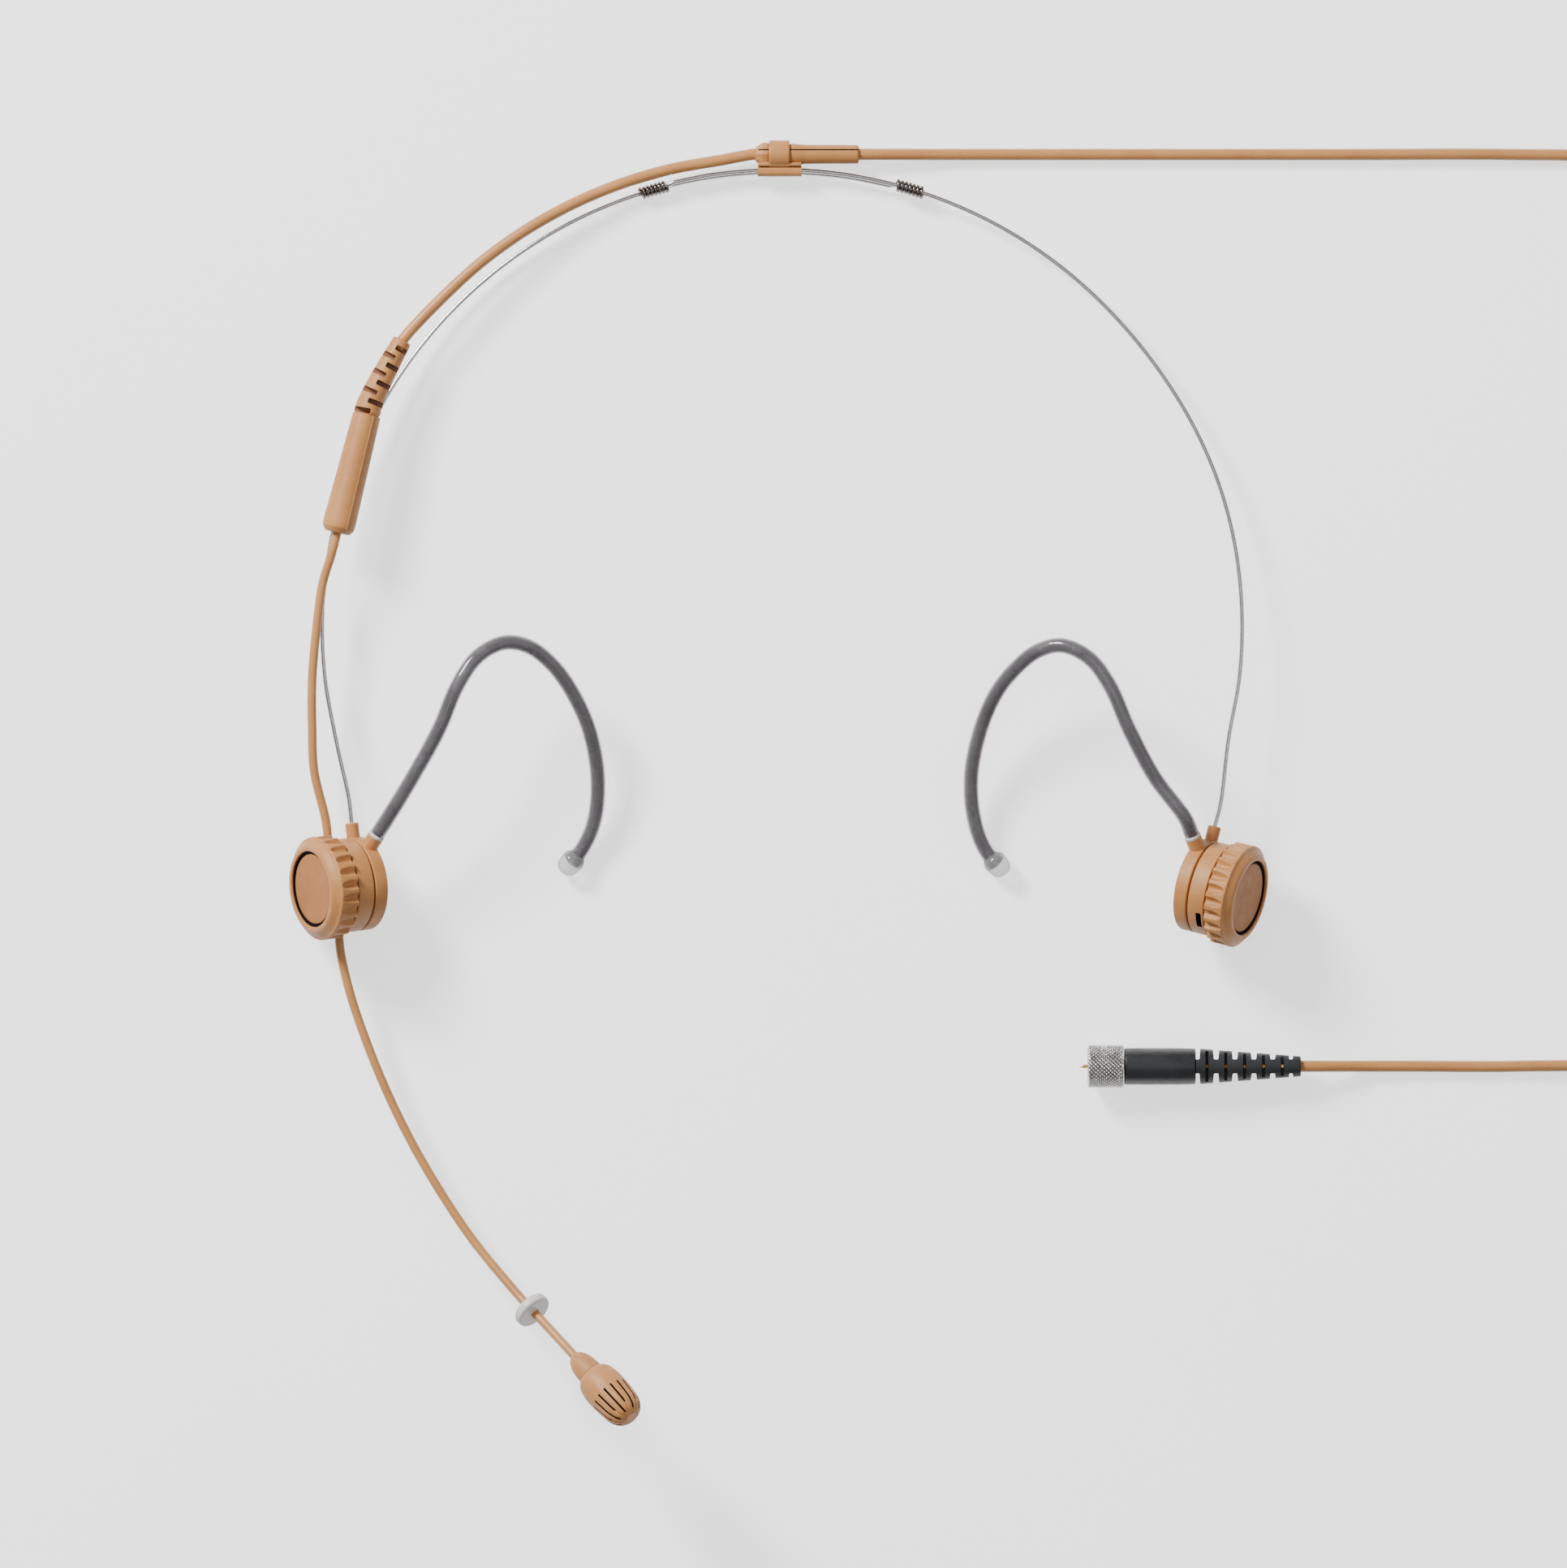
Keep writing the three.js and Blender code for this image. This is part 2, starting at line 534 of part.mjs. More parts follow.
const HOOK_TIP_Z = HOOK_TIP_D / 2;
earHook("left", leftHub, fromHub(LEFT_PLACE, [
  [6.6, 14.6, 13.0], [10.3, 21.3, 14.6], [12.9, 27.4, 14.9], [15.7, 31.4, 14.3], [19.4, 33.3, 13.0],
  [22.8, 32.7, 11.6], [25.9, 30.3, 10.2], [28.6, 26.6, 8.6], [31.0, 21.3, 6.6], [32.2, 14.6, 4.4],
  [31.7, 8.6, 2.8], [30.0, 4.7, 1.9], [27.2, 1.4, HOOK_TIP_Z],
]));
earHook("right", rightHub, fromHub(RIGHT_PLACE, [
  [-5.3, 14.7, 12.4], [-8.9, 21.4, 14.0], [-11.6, 27.5, 14.4], [-14.5, 31.3, 13.8], [-18.2, 33.0, 12.6],
  [-21.6, 32.2, 11.2], [-24.6, 29.8, 9.8], [-27.2, 26.5, 8.3], [-29.4, 21.4, 6.4], [-30.7, 14.7, 4.2],
  [-30.2, 8.7, 2.7], [-28.7, 4.7, 1.9], [-25.8, 1.3, HOOK_TIP_Z],
]));

// ---------- boom ----------
const MIC_START = vec(fromHub(LEFT_PLACE, [[29.1, -65.4, MIC_Z]])[0]);
const MIC_HEADING = -46.6;
const MIC_AXIS = new THREE.Vector3().setFromSphericalCoords(
  1, radians(90 - MIC_TILT), radians(90 + MIC_HEADING),
);
MIC_AXIS.set(MIC_AXIS.x, -MIC_AXIS.z, MIC_AXIS.y);
const boomRoute = [
  leftHub.at(-BOOM_CHORD, BOOM_TAIL, BOOM_Z).toArray(),
  leftHub.at(-BOOM_CHORD, -PAD_D / 2, BOOM_Z).toArray(),
  leftHub.at(-BOOM_CHORD, -PAD_D / 2 - 3, BOOM_Z).toArray(),
  ...fromHub(LEFT_PLACE, [
    [-2.0, -15.8, 5.1], [0.3, -22.5, 4.7], [3.1, -29.3, 4.5], [6.4, -36.0, 4.6],
    [10.3, -42.7, 5.0], [14.9, -49.5, 6.3],
  ]),
  MIC_START.clone().addScaledVector(MIC_AXIS, -13.2).toArray(),
  MIC_START.clone().addScaledVector(MIC_AXIS, -9).toArray(),
  MIC_START.clone().addScaledVector(MIC_AXIS, -4).toArray(),
  MIC_START.clone().addScaledVector(MIC_AXIS, -GAP).toArray(),
];
add("boom_arm", bar(smooth(boomRoute), THIN_D, 28), TAN_CABLE);

// The shoe lines the channel of the left clamp ring and grips the boom when the knob is tight.
const shoeWall = (BOOM_CHANNEL_W - THIN_D) / 2 - 0.2;
const SHOE_LENGTH = 7;
function boomShoe() {
  const low = BOOM_Z - THIN_D / 2 - 0.15;
  const wallX = -BOOM_CHORD - BOOM_CHANNEL_W / 2 + shoeWall / 2 + 0.05;
  const block = box(shoeWall, SHOE_LENGTH, THIN_D, wallX, 0, low + THIN_D / 2);
  return block;
}
add("boom_shoe", boomShoe(), BRASS, leftHub.group);

const ringPoint = MIC_START.clone().addScaledVector(MIC_AXIS, -DRIP_RING_BACK);
const ringGroup = aimed(ringPoint, MIC_AXIS);
const ringBore = THIN_D / 2 + 0.3;
const ringRim = DRIP_RING_D / 2;
const ringHalf = DRIP_RING_T / 2;
add("drip_ring", turned([
  [ringBore, -ringHalf], [ringRim - 0.6, -ringHalf], [ringRim - 0.1, -ringHalf / 2], [ringRim, 0],
  [ringRim - 0.1, ringHalf / 2], [ringRim - 0.6, ringHalf], [ringBore, ringHalf], [ringBore, -ringHalf],
]), WHITE, ringGroup);

// ---------- microphone ----------
const micGroup = aimed(MIC_START, MIC_AXIS);
const bootR = MIC_BOOT_D / 2;
add("mic_boot", turned([
  [0, 0], [bootR - 0.9, 0], [bootR - 0.35, 0.35], [bootR, 1.1], [bootR, MIC_BOOT_LENGTH - 0.5],
  [bootR - 0.3, MIC_BOOT_LENGTH], [0, MIC_BOOT_LENGTH],
]), TAN, micGroup);
const CAN_FROM = MIC_BOOT_LENGTH + 0.1;
add("mic_element", rod(CAN_D, CAN_FROM, CAN_FROM + CAN_LENGTH, 20), STEEL, micGroup);
const CAN_END = CAN_FROM + CAN_LENGTH;
add("element_mesh", rod(CAN_D - 0.6, CAN_END + 0.15, CAN_END + 0.5, 20), STEEL, micGroup);

function frequencyCap() {
  const from = MIC_BOOT_LENGTH + 0.15;
  const tip = MIC_BOOT_LENGTH + CAP_LENGTH;
  const r = FREQ_CAP_D / 2;
  const wall = FREQ_CAP_WALL;
  const shell = solid(turned([
    [0, tip - wall], [r - 1.6, tip - 2 * wall], [r - 0.95, tip - 1.9], [r - wall - 0.05, tip - 5],
    [r - wall, from + 2.2], [CAN_D / 2 + 0.15, from],
    [r - 0.55, from], [r - 0.25, from + 0.6], [r, from + 2.4], [r - 0.05, tip - 4.8], [r - 0.45, tip - 1.6],
    [r - 1.1, tip - 0.45], [1.05, tip], [0, tip],
  ]));
  const slits = [];
  for (let i = 0; i < MIC_SLITS; i++) {
    const long = i % 2 === 0;
    const slitLength = long ? 4.4 : 3.4;
    const slit = box(2.4, 0.34, slitLength, r, 0, tip - 4.8 + slitLength / 2)
      .rotateZ((2 * Math.PI * i) / MIC_SLITS);
    slits.push(solid(slit));
  }
  return geometryOf(cut(shell, ...slits));
}
add("frequency_cap", frequencyCap(), TAN, micGroup);

// ---------- connector ----------
const plugGroup = new THREE.Group();
plugGroup.position.set(NUT_FACE_X, PLUG_Y, PLUG_Z);
plugGroup.rotation.y = Math.PI / 2;
root.add(plugGroup);

const SHELL_D = 4.3;
const SHELL_BORE = 3.1;
const SHELL_FROM = 0.5;
function couplingNut() {
  const outline = new THREE.Shape();
  const count = NUT_RIDGES * 2;
  for (let i = 0; i < count; i++) {
    const angle = (2 * Math.PI * i) / count;
    const r = NUT_D / 2 - (i % 2 ? 0.22 : 0);
    outline[i ? "lineTo" : "moveTo"](r * Math.cos(angle), r * Math.sin(angle));
  }
  const blank = new THREE.ExtrudeGeometry(outline, { depth: NUT_LENGTH, bevelEnabled: false });
  const bore = rod(SHELL_D + 2 * GAP, -1, NUT_LENGTH + 1, 20);
  return geometryOf(cut(solid(blank), solid(bore)));
}
add("coupling_nut", couplingNut(), STEEL, plugGroup);
add("connector_shell", pipe(SHELL_D, SHELL_BORE, SHELL_FROM, NUT_LENGTH, 20), STEEL, plugGroup);
const insulatorFace = SHELL_FROM + 0.8;
add("connector_insulator", pipe(SHELL_BORE - GAP, 0.9, insulatorFace, NUT_LENGTH, 16), WHITE, plugGroup);
add("connector_pin", turned([
  [0, -1.1], [0.18, -1.0], [0.25, -0.7], [0.25, NUT_LENGTH], [0, NUT_LENGTH],
], 10), BRASS, plugGroup);

const bodyFrom = NUT_LENGTH + GAP;
const bodyTo = NUT_LENGTH + BODY_LENGTH;
const bodyR = BODY_D / 2;
const cavityR = bodyR - 0.9;
add("connector_body", turned([
  [0, bodyTo - 1], [cavityR, bodyTo - 1], [cavityR, bodyFrom],
  [bodyR - 0.2, bodyFrom], [bodyR, bodyFrom + 0.3], [bodyR, bodyTo], [0, bodyTo],
]), BLACK, plugGroup);

function connectorRelief() {
  const from = bodyTo + GAP;
  const to = bodyTo + RELIEF_LENGTH;
  const taper = (z) => THREE.MathUtils.lerp(bodyR, RELIEF_END_D / 2, (z - from) / (to - from));
  const blank = turned([[0, from], [taper(from), from], [taper(to), to], [0, to]]);
  const pitch = (to - from - 1.2) / RELIEF_BLOCKS;
  const notchW = pitch * 0.42;
  const notches = [];
  for (let i = 0; i < RELIEF_BLOCKS; i++) {
    const z = from + pitch * (i + 1) - notchW / 2;
    for (const sign of [1, -1]) {
      notches.push(solid(box(BODY_D + 2, 3, notchW, 0, sign * (RELIEF_NECK_D / 2 + 1.5), z)));
    }
  }
  return geometryOf(cut(solid(blank), ...notches));
}
add("connector_relief", connectorRelief(), BLACK, plugGroup);

// ---------- lead ----------
const COIL_HALF = (COIL_ROWS * LEAD_D) / 2 + 0.1;
const COIL_LOW = 0.4;
const COIL_HIGH = COIL_LOW + COIL_ROWS * LEAD_D + 0.1;
const coilOuter = COIL_MEAN_D / 2 + COIL_HALF;
const coilInner = COIL_MEAN_D / 2 - COIL_HALF;
const strandR = COIL_MEAN_D / 2 + 1.5 * LEAD_D;
const strandX = COIL_X + strandR;
const meet = Math.sqrt(coilOuter ** 2 - (strandR - LEAD_D / 2) ** 2) + GAP;
const LEAD_LOW = LEAD_D / 2 + 0.08;
const leadOut = [
  [SLEEVE_TO + GAP, CLIP_LEAD_Y, STRAP_D / 2], [SLEEVE_TO + 5, CLIP_LEAD_Y, 1.75],
  [SLEEVE_TO + 12, CLIP_LEAD_Y, 1.1], [SLEEVE_TO + 20, CLIP_LEAD_Y, LEAD_LOW],
  [50, CLIP_LEAD_Y, LEAD_LOW], [80, CLIP_LEAD_Y, LEAD_LOW], [102, CLIP_LEAD_Y, LEAD_LOW],
  [115, 86.6, LEAD_LOW], [127, 83.5, LEAD_LOW], [136.5, 77, LEAD_LOW], [142.6, 68, LEAD_LOW],
  [145.4, 57, LEAD_LOW], [strandX, 46, 0.9], [strandX, COIL_Y + meet + 4, COIL_LOW + LEAD_LOW],
  [strandX, COIL_Y + meet, COIL_LOW + LEAD_LOW],
];
add("lead_to_coil", bar(smooth(leadOut), LEAD_D, 44), TAN_CABLE);

const RELIEF_END_X = NUT_FACE_X + bodyTo + RELIEF_LENGTH;
const topRow = COIL_LOW + (COIL_ROWS - 0.5) * LEAD_D;
const leadBack = [
  [strandX, COIL_Y - meet, topRow], [strandX, COIL_Y - meet - 5, topRow - 0.5],
  [145.6, 2, 3.2], [144.6, -7, 1.3], [141.6, -18, LEAD_LOW], [136, -27.5, LEAD_LOW],
  [127.5, -34.6, LEAD_LOW], [116, -38.8, LEAD_LOW], [103, PLUG_Y, LEAD_LOW], [88, PLUG_Y, LEAD_LOW],
  [RELIEF_END_X + 8.4, PLUG_Y, 1.3], [RELIEF_END_X + 3.4, PLUG_Y, 2.6],
  [RELIEF_END_X + GAP, PLUG_Y, PLUG_Z],
];
add("lead_to_connector", bar(smooth(leadBack), LEAD_D, 28), TAN_CABLE);

const coilRing = turned([
  [coilInner, COIL_LOW + 0.6], [coilInner + 0.6, COIL_LOW], [coilOuter - 0.6, COIL_LOW],
  [coilOuter, COIL_LOW + 0.6], [coilOuter, COIL_HIGH - 0.6], [coilOuter - 0.6, COIL_HIGH],
  [coilInner + 0.6, COIL_HIGH], [coilInner, COIL_HIGH - 0.6], [coilInner, COIL_LOW + 0.6],
], 32).translate(COIL_X, COIL_Y, 0);
add("lead_coil", coilRing, TAN_CABLE);

function coilTie() {
  const width = 6;
  const wall = 0.3;
  const outside = coilOuter + 0.25;
  const inside = Math.sqrt(coilInner ** 2 - (width / 2) ** 2) - 0.5;
  const middle = COIL_X - (outside + inside) / 2;
  const high = COIL_HIGH + 0.15;
  const hole = box(outside - inside, width + 2, high - wall, middle, COIL_Y, (high + wall) / 2);
  const skin = box(
    outside - inside + 2 * wall, width, high + wall, middle, COIL_Y, (high + wall) / 2,
  );
  return geometryOf(cut(solid(skin), solid(hole)));
}
add("coil_tie", coilTie(), BLACK);

// ---------- origin at the middle of the headset's footprint ----------
const ON_THE_LEAD = /^(lead_|coil_tie|coupling_nut|connector_)/;
root.updateMatrixWorld(true);
const footprint = new THREE.Box3();
root.traverse((item) => {
  if (item.isMesh && !ON_THE_LEAD.test(item.name)) footprint.expandByObject(item, true);
});
const middle = footprint.getCenter(new THREE.Vector3());
root.children.forEach((child) => {
  child.position.x -= middle.x;
  child.position.y -= middle.y;
});

const headset = new THREE.Group();
headset.add(root);
export default headset;
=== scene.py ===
import json
import math
import bmesh
import bpy
from mathutils import Matrix, Vector


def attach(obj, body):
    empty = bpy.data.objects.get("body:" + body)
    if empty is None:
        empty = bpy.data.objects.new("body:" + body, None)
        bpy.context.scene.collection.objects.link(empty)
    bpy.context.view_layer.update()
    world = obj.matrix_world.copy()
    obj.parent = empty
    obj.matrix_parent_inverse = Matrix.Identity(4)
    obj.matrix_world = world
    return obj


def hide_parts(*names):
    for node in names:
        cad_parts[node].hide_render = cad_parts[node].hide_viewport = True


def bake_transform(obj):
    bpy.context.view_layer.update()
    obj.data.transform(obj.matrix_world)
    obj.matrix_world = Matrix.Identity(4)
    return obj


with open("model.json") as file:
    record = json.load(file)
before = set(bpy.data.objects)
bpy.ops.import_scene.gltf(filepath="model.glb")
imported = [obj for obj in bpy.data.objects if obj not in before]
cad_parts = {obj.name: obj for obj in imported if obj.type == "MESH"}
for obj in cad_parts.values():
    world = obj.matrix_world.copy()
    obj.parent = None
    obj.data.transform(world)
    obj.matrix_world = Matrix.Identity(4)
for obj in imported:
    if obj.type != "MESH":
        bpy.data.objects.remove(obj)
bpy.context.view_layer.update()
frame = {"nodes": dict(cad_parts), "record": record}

MM = 0.001
JOINTS = {joint["name"]: joint for joint in frame["record"]["behaviour"]["joints"]}

# The design is in millimetres, as in the CAD. SHIFT brings it into the row frame.
BAND_CENTRE = Vector((0.2, 21.4, 0))
BAND_RADIUS = 63.4
hinge = JOINTS["band_adjust"]["pos_m"]
SHIFT = Vector((hinge[0] / MM, hinge[1] / MM, 0)) - BAND_CENTRE


def row(point):
    """A design point in millimetres as a row-frame point in metres."""
    return (Vector(point) + SHIFT) * MM


# --- materials ---
MIX_FIRST, MIX_SECOND, MIX_RESULT = 6, 7, 2  # the colour sockets of a Mix node


class Nodes:
    """A Principled material whose colour, roughness and bump are built from noise."""

    def __init__(self, name):
        self.material = bpy.data.materials.new(name)
        self.material.use_nodes = True
        self.tree = self.material.node_tree
        self.shader = self.tree.nodes["Principled BSDF"]
        self.coords = self.tree.nodes.new("ShaderNodeTexCoord").outputs["Object"]

    def link(self, source, target):
        self.tree.links.new(source, target)

    def set(self, **values):
        for key, value in values.items():
            self.shader.inputs[key.replace("_", " ")].default_value = value
        return self

    def noise(self, size_mm, detail=3.0, rough=0.55):
        node = self.tree.nodes.new("ShaderNodeTexNoise")
        node.inputs["Scale"].default_value = 1 / (size_mm * MM)
        node.inputs["Detail"].default_value = detail
        node.inputs["Roughness"].default_value = rough
        self.link(self.coords, node.inputs["Vector"])
        return node.outputs["Fac"]

    def ramp(self, value, low, high, start=0.3, end=0.7):
        node = self.tree.nodes.new("ShaderNodeMapRange")
        node.inputs["From Min"].default_value = start
        node.inputs["From Max"].default_value = end
        node.inputs["To Min"].default_value = low
        node.inputs["To Max"].default_value = high
        self.link(value, node.inputs["Value"])
        return node.outputs["Result"]

    def mix(self, value, first, second):
        node = self.tree.nodes.new("ShaderNodeMix")
        node.data_type = "RGBA"
        self.link(value, node.inputs["Factor"])
        for index, colour in ((MIX_FIRST, first), (MIX_SECOND, second)):
            socket = node.inputs[index]
            if isinstance(colour, tuple):
                socket.default_value = (*colour, 1)
            else:
                self.link(colour, socket)
        return node.outputs[MIX_RESULT]

    def rim(self, output, shade, blend=0.5):
        """Painted edge shade: darkens a colour towards grazing angles on metal and clear rubber.
        """
        facing = self.tree.nodes.new("ShaderNodeLayerWeight")
        facing.inputs["Blend"].default_value = blend
        return self.mix(self.ramp(facing.outputs["Facing"], 0, 1, 0.25, 0.95), output, shade)

    def colour(self, output):
        self.link(output, self.shader.inputs["Base Color"])

    def roughness(self, output):
        self.link(output, self.shader.inputs["Roughness"])

    def bump(self, *layers):
        """Each layer is (height output, depth in mm)."""
        normal = None
        for height, depth in layers:
            node = self.tree.nodes.new("ShaderNodeBump")
            node.inputs["Strength"].default_value = 1.0
            node.inputs["Distance"].default_value = depth * MM
            self.link(height, node.inputs["Height"])
            if normal is not None:
                self.link(normal, node.inputs["Normal"])
            normal = node.outputs["Normal"]
        self.link(normal, self.shader.inputs["Normal"])


def linear(red, green, blue):
    """A 0 to 255 display colour as linear light."""
    return tuple(
        ((c / 255 + 0.055) / 1.055) ** 2.4 if c > 10 else c / 255 / 12.92
        for c in (red, green, blue)
    )


def moulded(name, light, dark, grain_mm, grain_depth, rough=(0.42, 0.58)):
    """Satin moulded plastic: slow colour drift, fine specks and a spark-eroded grain."""
    m = Nodes(name)
    drift = m.ramp(m.noise(5.0, 2.0), 0.0, 1.0)
    speck = m.ramp(m.noise(0.22, 2.0), 0.0, 1.0, 0.35, 0.65)
    base = m.mix(drift, dark, light)
    darker = tuple(0.84 * c for c in dark)
    m.colour(m.mix(m.ramp(speck, 0.0, 0.30, 0.0, 1.0), base, darker))
    m.roughness(m.ramp(m.noise(1.3, 3.0), *rough))
    m.bump((m.noise(grain_mm, 4.0, rough=0.7), grain_depth), (m.noise(1.6, 2.0), 0.02))
    return m


def tan_plastic():
    m = moulded("tan_plastic", linear(201, 139, 79), linear(188, 126, 69), 0.16, 0.016)
    m.set(Specular_IOR_Level=0.42, Subsurface_Weight=0.06, Subsurface_Scale=0.0006)
    return m.material


def tan_disc():
    light, dark = linear(184, 122, 68), linear(170, 109, 58)
    m = moulded("tan_disc", light, dark, 0.24, 0.030, (0.55, 0.7))
    return m.set(Specular_IOR_Level=0.35).material


def tan_cable():
    light, dark = linear(205, 144, 83), linear(193, 131, 73)
    m = moulded("tan_cable", light, dark, 0.35, 0.008, (0.34, 0.46))
    m.set(Specular_IOR_Level=0.5, Subsurface_Weight=0.08, Subsurface_Scale=0.0006)
    return m.material


def steel(name, light, dark, rough):
    """Polished metal, with a painted dark reflection towards its edges."""
    m = Nodes(name).set(Metallic=1.0)
    streak = m.noise(0.6, 3.0)
    # Painted reflection: the colour goes to 0.22 of the dark tone at grazing angles, as if dark
    # surroundings were mirrored.
    m.colour(m.rim(m.mix(m.ramp(streak, 0, 1), dark, light), tuple(0.22 * c for c in dark)))
    m.roughness(m.ramp(m.noise(0.7, 3.0), *rough))
    m.bump((m.noise(0.1, 2.0), 0.0015))
    return m.material


def hook_tube():
    """Smoke-grey soft tube with flow marks and a cloudy skin."""
    m = Nodes("hook_tube")
    flow = m.ramp(m.noise(4.0, 3.0), 0, 1, 0.3, 0.7)
    m.colour(m.mix(flow, linear(196, 192, 196), linear(222, 219, 222)))
    m.roughness(m.ramp(m.noise(1.5, 3.0), 0.06, 0.16))
    m.bump((m.noise(0.6, 3.0), 0.003))
    return m.set(Specular_IOR_Level=0.6, Transmission_Weight=0.88, IOR=1.42).material


def clear_soft(name, tint, transmission, rough, grain, rim):
    """Clear or milky rubber with a painted dark outline. rim is how much of the tint is left at
    its edges.
    """
    m = Nodes(name)
    body = m.mix(m.ramp(m.noise(1.5, 3.0), 0, 1), tint, tuple(0.93 * c for c in tint))
    # Painted outline: the tint goes darker towards the edges.
    m.colour(m.rim(body, tuple(rim * c for c in tint)))
    m.roughness(m.ramp(m.noise(0.5, 3.0), rough, rough + 0.12))
    m.bump((m.noise(grain, 3.0), 0.01))
    m.set(Transmission_Weight=transmission, IOR=1.42)
    m.set(Subsurface_Weight=0.15 * (1 - transmission), Subsurface_Scale=0.0012)
    return m.material


def black(name, tone, rough, grain_depth):
    """Black plastic or rubber, a little blue."""
    light = linear(tone + 14, tone + 15, tone + 18)
    m = moulded(name, light, linear(tone, tone + 1, tone + 3), 0.2, grain_depth, rough)
    return m.set(Specular_IOR_Level=0.45).material


def dark_core():
    """The covered wire inside a hook tube."""
    m = Nodes("dark_core")
    m.colour(m.mix(m.ramp(m.noise(6.0, 2.0), 0, 1), linear(66, 62, 66), linear(84, 80, 84)))
    m.roughness(m.ramp(m.noise(3.0, 2.0), 0.22, 0.32))
    m.bump((m.noise(1.0, 2.0), 0.004))
    return m.set(Specular_IOR_Level=0.5).material


def dark_gap():
    """The shade at the bottom of narrow slots."""
    m = moulded("dark_gap", linear(38, 24, 18), linear(26, 16, 12), 0.3, 0.01, (0.7, 0.85))
    return m.set(Specular_IOR_Level=0.15).material


MATERIALS = {
    "tan": tan_plastic(),
    "disc": tan_disc(),
    "cable": tan_cable(),
    # The steel and clear_soft materials below all carry a painted dark edge from Nodes.rim.
    "wire": steel("wire_steel", (0.62, 0.60, 0.59), (0.46, 0.44, 0.44), (0.14, 0.24)),
    "wrap": steel("wrap_steel", (0.27, 0.23, 0.21), (0.16, 0.13, 0.12), (0.10, 0.18)),
    "nickel": steel("nickel", (0.72, 0.71, 0.70), (0.58, 0.57, 0.56), (0.12, 0.24)),
    "gold": steel("gold_contact", (0.86, 0.62, 0.27), (0.72, 0.48, 0.18), (0.12, 0.25)),
    "brass": steel("brass", (0.80, 0.58, 0.25), (0.60, 0.42, 0.17), (0.22, 0.40)),
    "tube": hook_tube(),
    "clear": clear_soft("clear_soft", (0.80, 0.80, 0.82), 0.82, 0.06, 0.4, 0.22),
    "white": clear_soft("milky_soft", (0.90, 0.89, 0.87), 0.25, 0.32, 0.3, 0.72),
    "body": black("black_plastic", 28, (0.32, 0.46), 0.012),
    "relief": black("black_rubber", 26, (0.45, 0.6), 0.02),
    "gap": dark_gap(),
    "core": dark_core(),
    "shade": moulded("slot_shade", linear(150, 98, 62), linear(128, 80, 48), 0.2, 0.012).material,
}


# --- mesh building ---
SHARP = math.radians(38)
DESIGN = Matrix.Translation(SHIFT * MM)


def mark_sharp(bm, sharp=SHARP):
    for edge in bm.edges:
        edge.smooth = not (edge.is_manifold and edge.calc_face_angle(0) > sharp)


def finish_mesh(name, bm, material, matrix=DESIGN, sharp=SHARP):
    """Turns a bmesh in millimetres into an object in metres, smooth with sharp edges kept."""
    bmesh.ops.remove_doubles(bm, verts=bm.verts, dist=1e-5)
    bmesh.ops.recalc_face_normals(bm, faces=bm.faces)
    bm.transform(matrix @ Matrix.Scale(MM, 4))
    for face in bm.faces:
        face.smooth = True
    mark_sharp(bm, sharp)
    mesh = bpy.data.meshes.new(name)
    bm.to_mesh(mesh)
    bm.free()
    mesh.materials.append(MATERIALS[material])
    obj = bpy.data.objects.new(name, mesh)
    bpy.context.scene.collection.objects.link(obj)
    return obj


def settle(obj, body, *nodes):
    """A finished piece rides on its body and stands for its CAD nodes."""
    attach(obj, body)
    if nodes:
        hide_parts(*nodes)
    return obj


def rounded(profile, steps=5):
    """[radius, z, fillet] corners as a list of (radius, z) with each fillet drawn as an arc."""
    points = []
    for i, corner in enumerate(profile):
        fillet = corner[2] if len(corner) > 2 else 0
        here = Vector(corner[:2])
        if not fillet or i in (0, len(profile) - 1):
            points.append(tuple(here))
            continue
        back = Vector(profile[i - 1][:2]) - here
        on = Vector(profile[i + 1][:2]) - here
        reach = min(fillet, 0.49 * back.length, 0.49 * on.length)
        start = here + back.normalized() * reach
        end = here + on.normalized() * reach
        for k in range(steps + 1):
            t = k / steps
            points.append(tuple(start * (1 - t) ** 2 + here * 2 * t * (1 - t) + end * t * t))
    return points


def dense(points, pitch):
    """The same outline with no stretch longer than pitch."""
    out = [points[0]]
    for a, b in zip(points, points[1:]):
        count = max(1, math.ceil((Vector(b) - Vector(a)).length / pitch))
        out += [tuple(Vector(a).lerp(Vector(b), k / count)) for k in range(1, count + 1)]
    return out


def revolve(points, segments=96, relief=None):
    """Turns an outline about +Z. relief(radius, z, angle) may give each point a new radius."""
    bm = bmesh.new()
    loop = (Vector(points[0]) - Vector(points[-1])).length < 1e-6
    outline = points[:-1] if loop else points
    columns = []
    for j in range(segments):
        angle = 2 * math.pi * j / segments
        column = []
        for r, z in outline:
            wide = relief(r, z, angle) if relief and r > 0 else r
            column.append(bm.verts.new((wide * math.cos(angle), wide * math.sin(angle), z)))
        columns.append(column)
    count = len(outline)
    for j in range(segments):
        a, b = columns[j], columns[(j + 1) % segments]
        for i in range(count if loop else count - 1):
            k = (i + 1) % count
            bm.faces.new((a[i], b[i], b[k], a[k]))
    bmesh.ops.remove_doubles(bm, verts=bm.verts, dist=1e-6)
    bmesh.ops.dissolve_degenerate(bm, edges=bm.edges, dist=1e-6)
    return bm


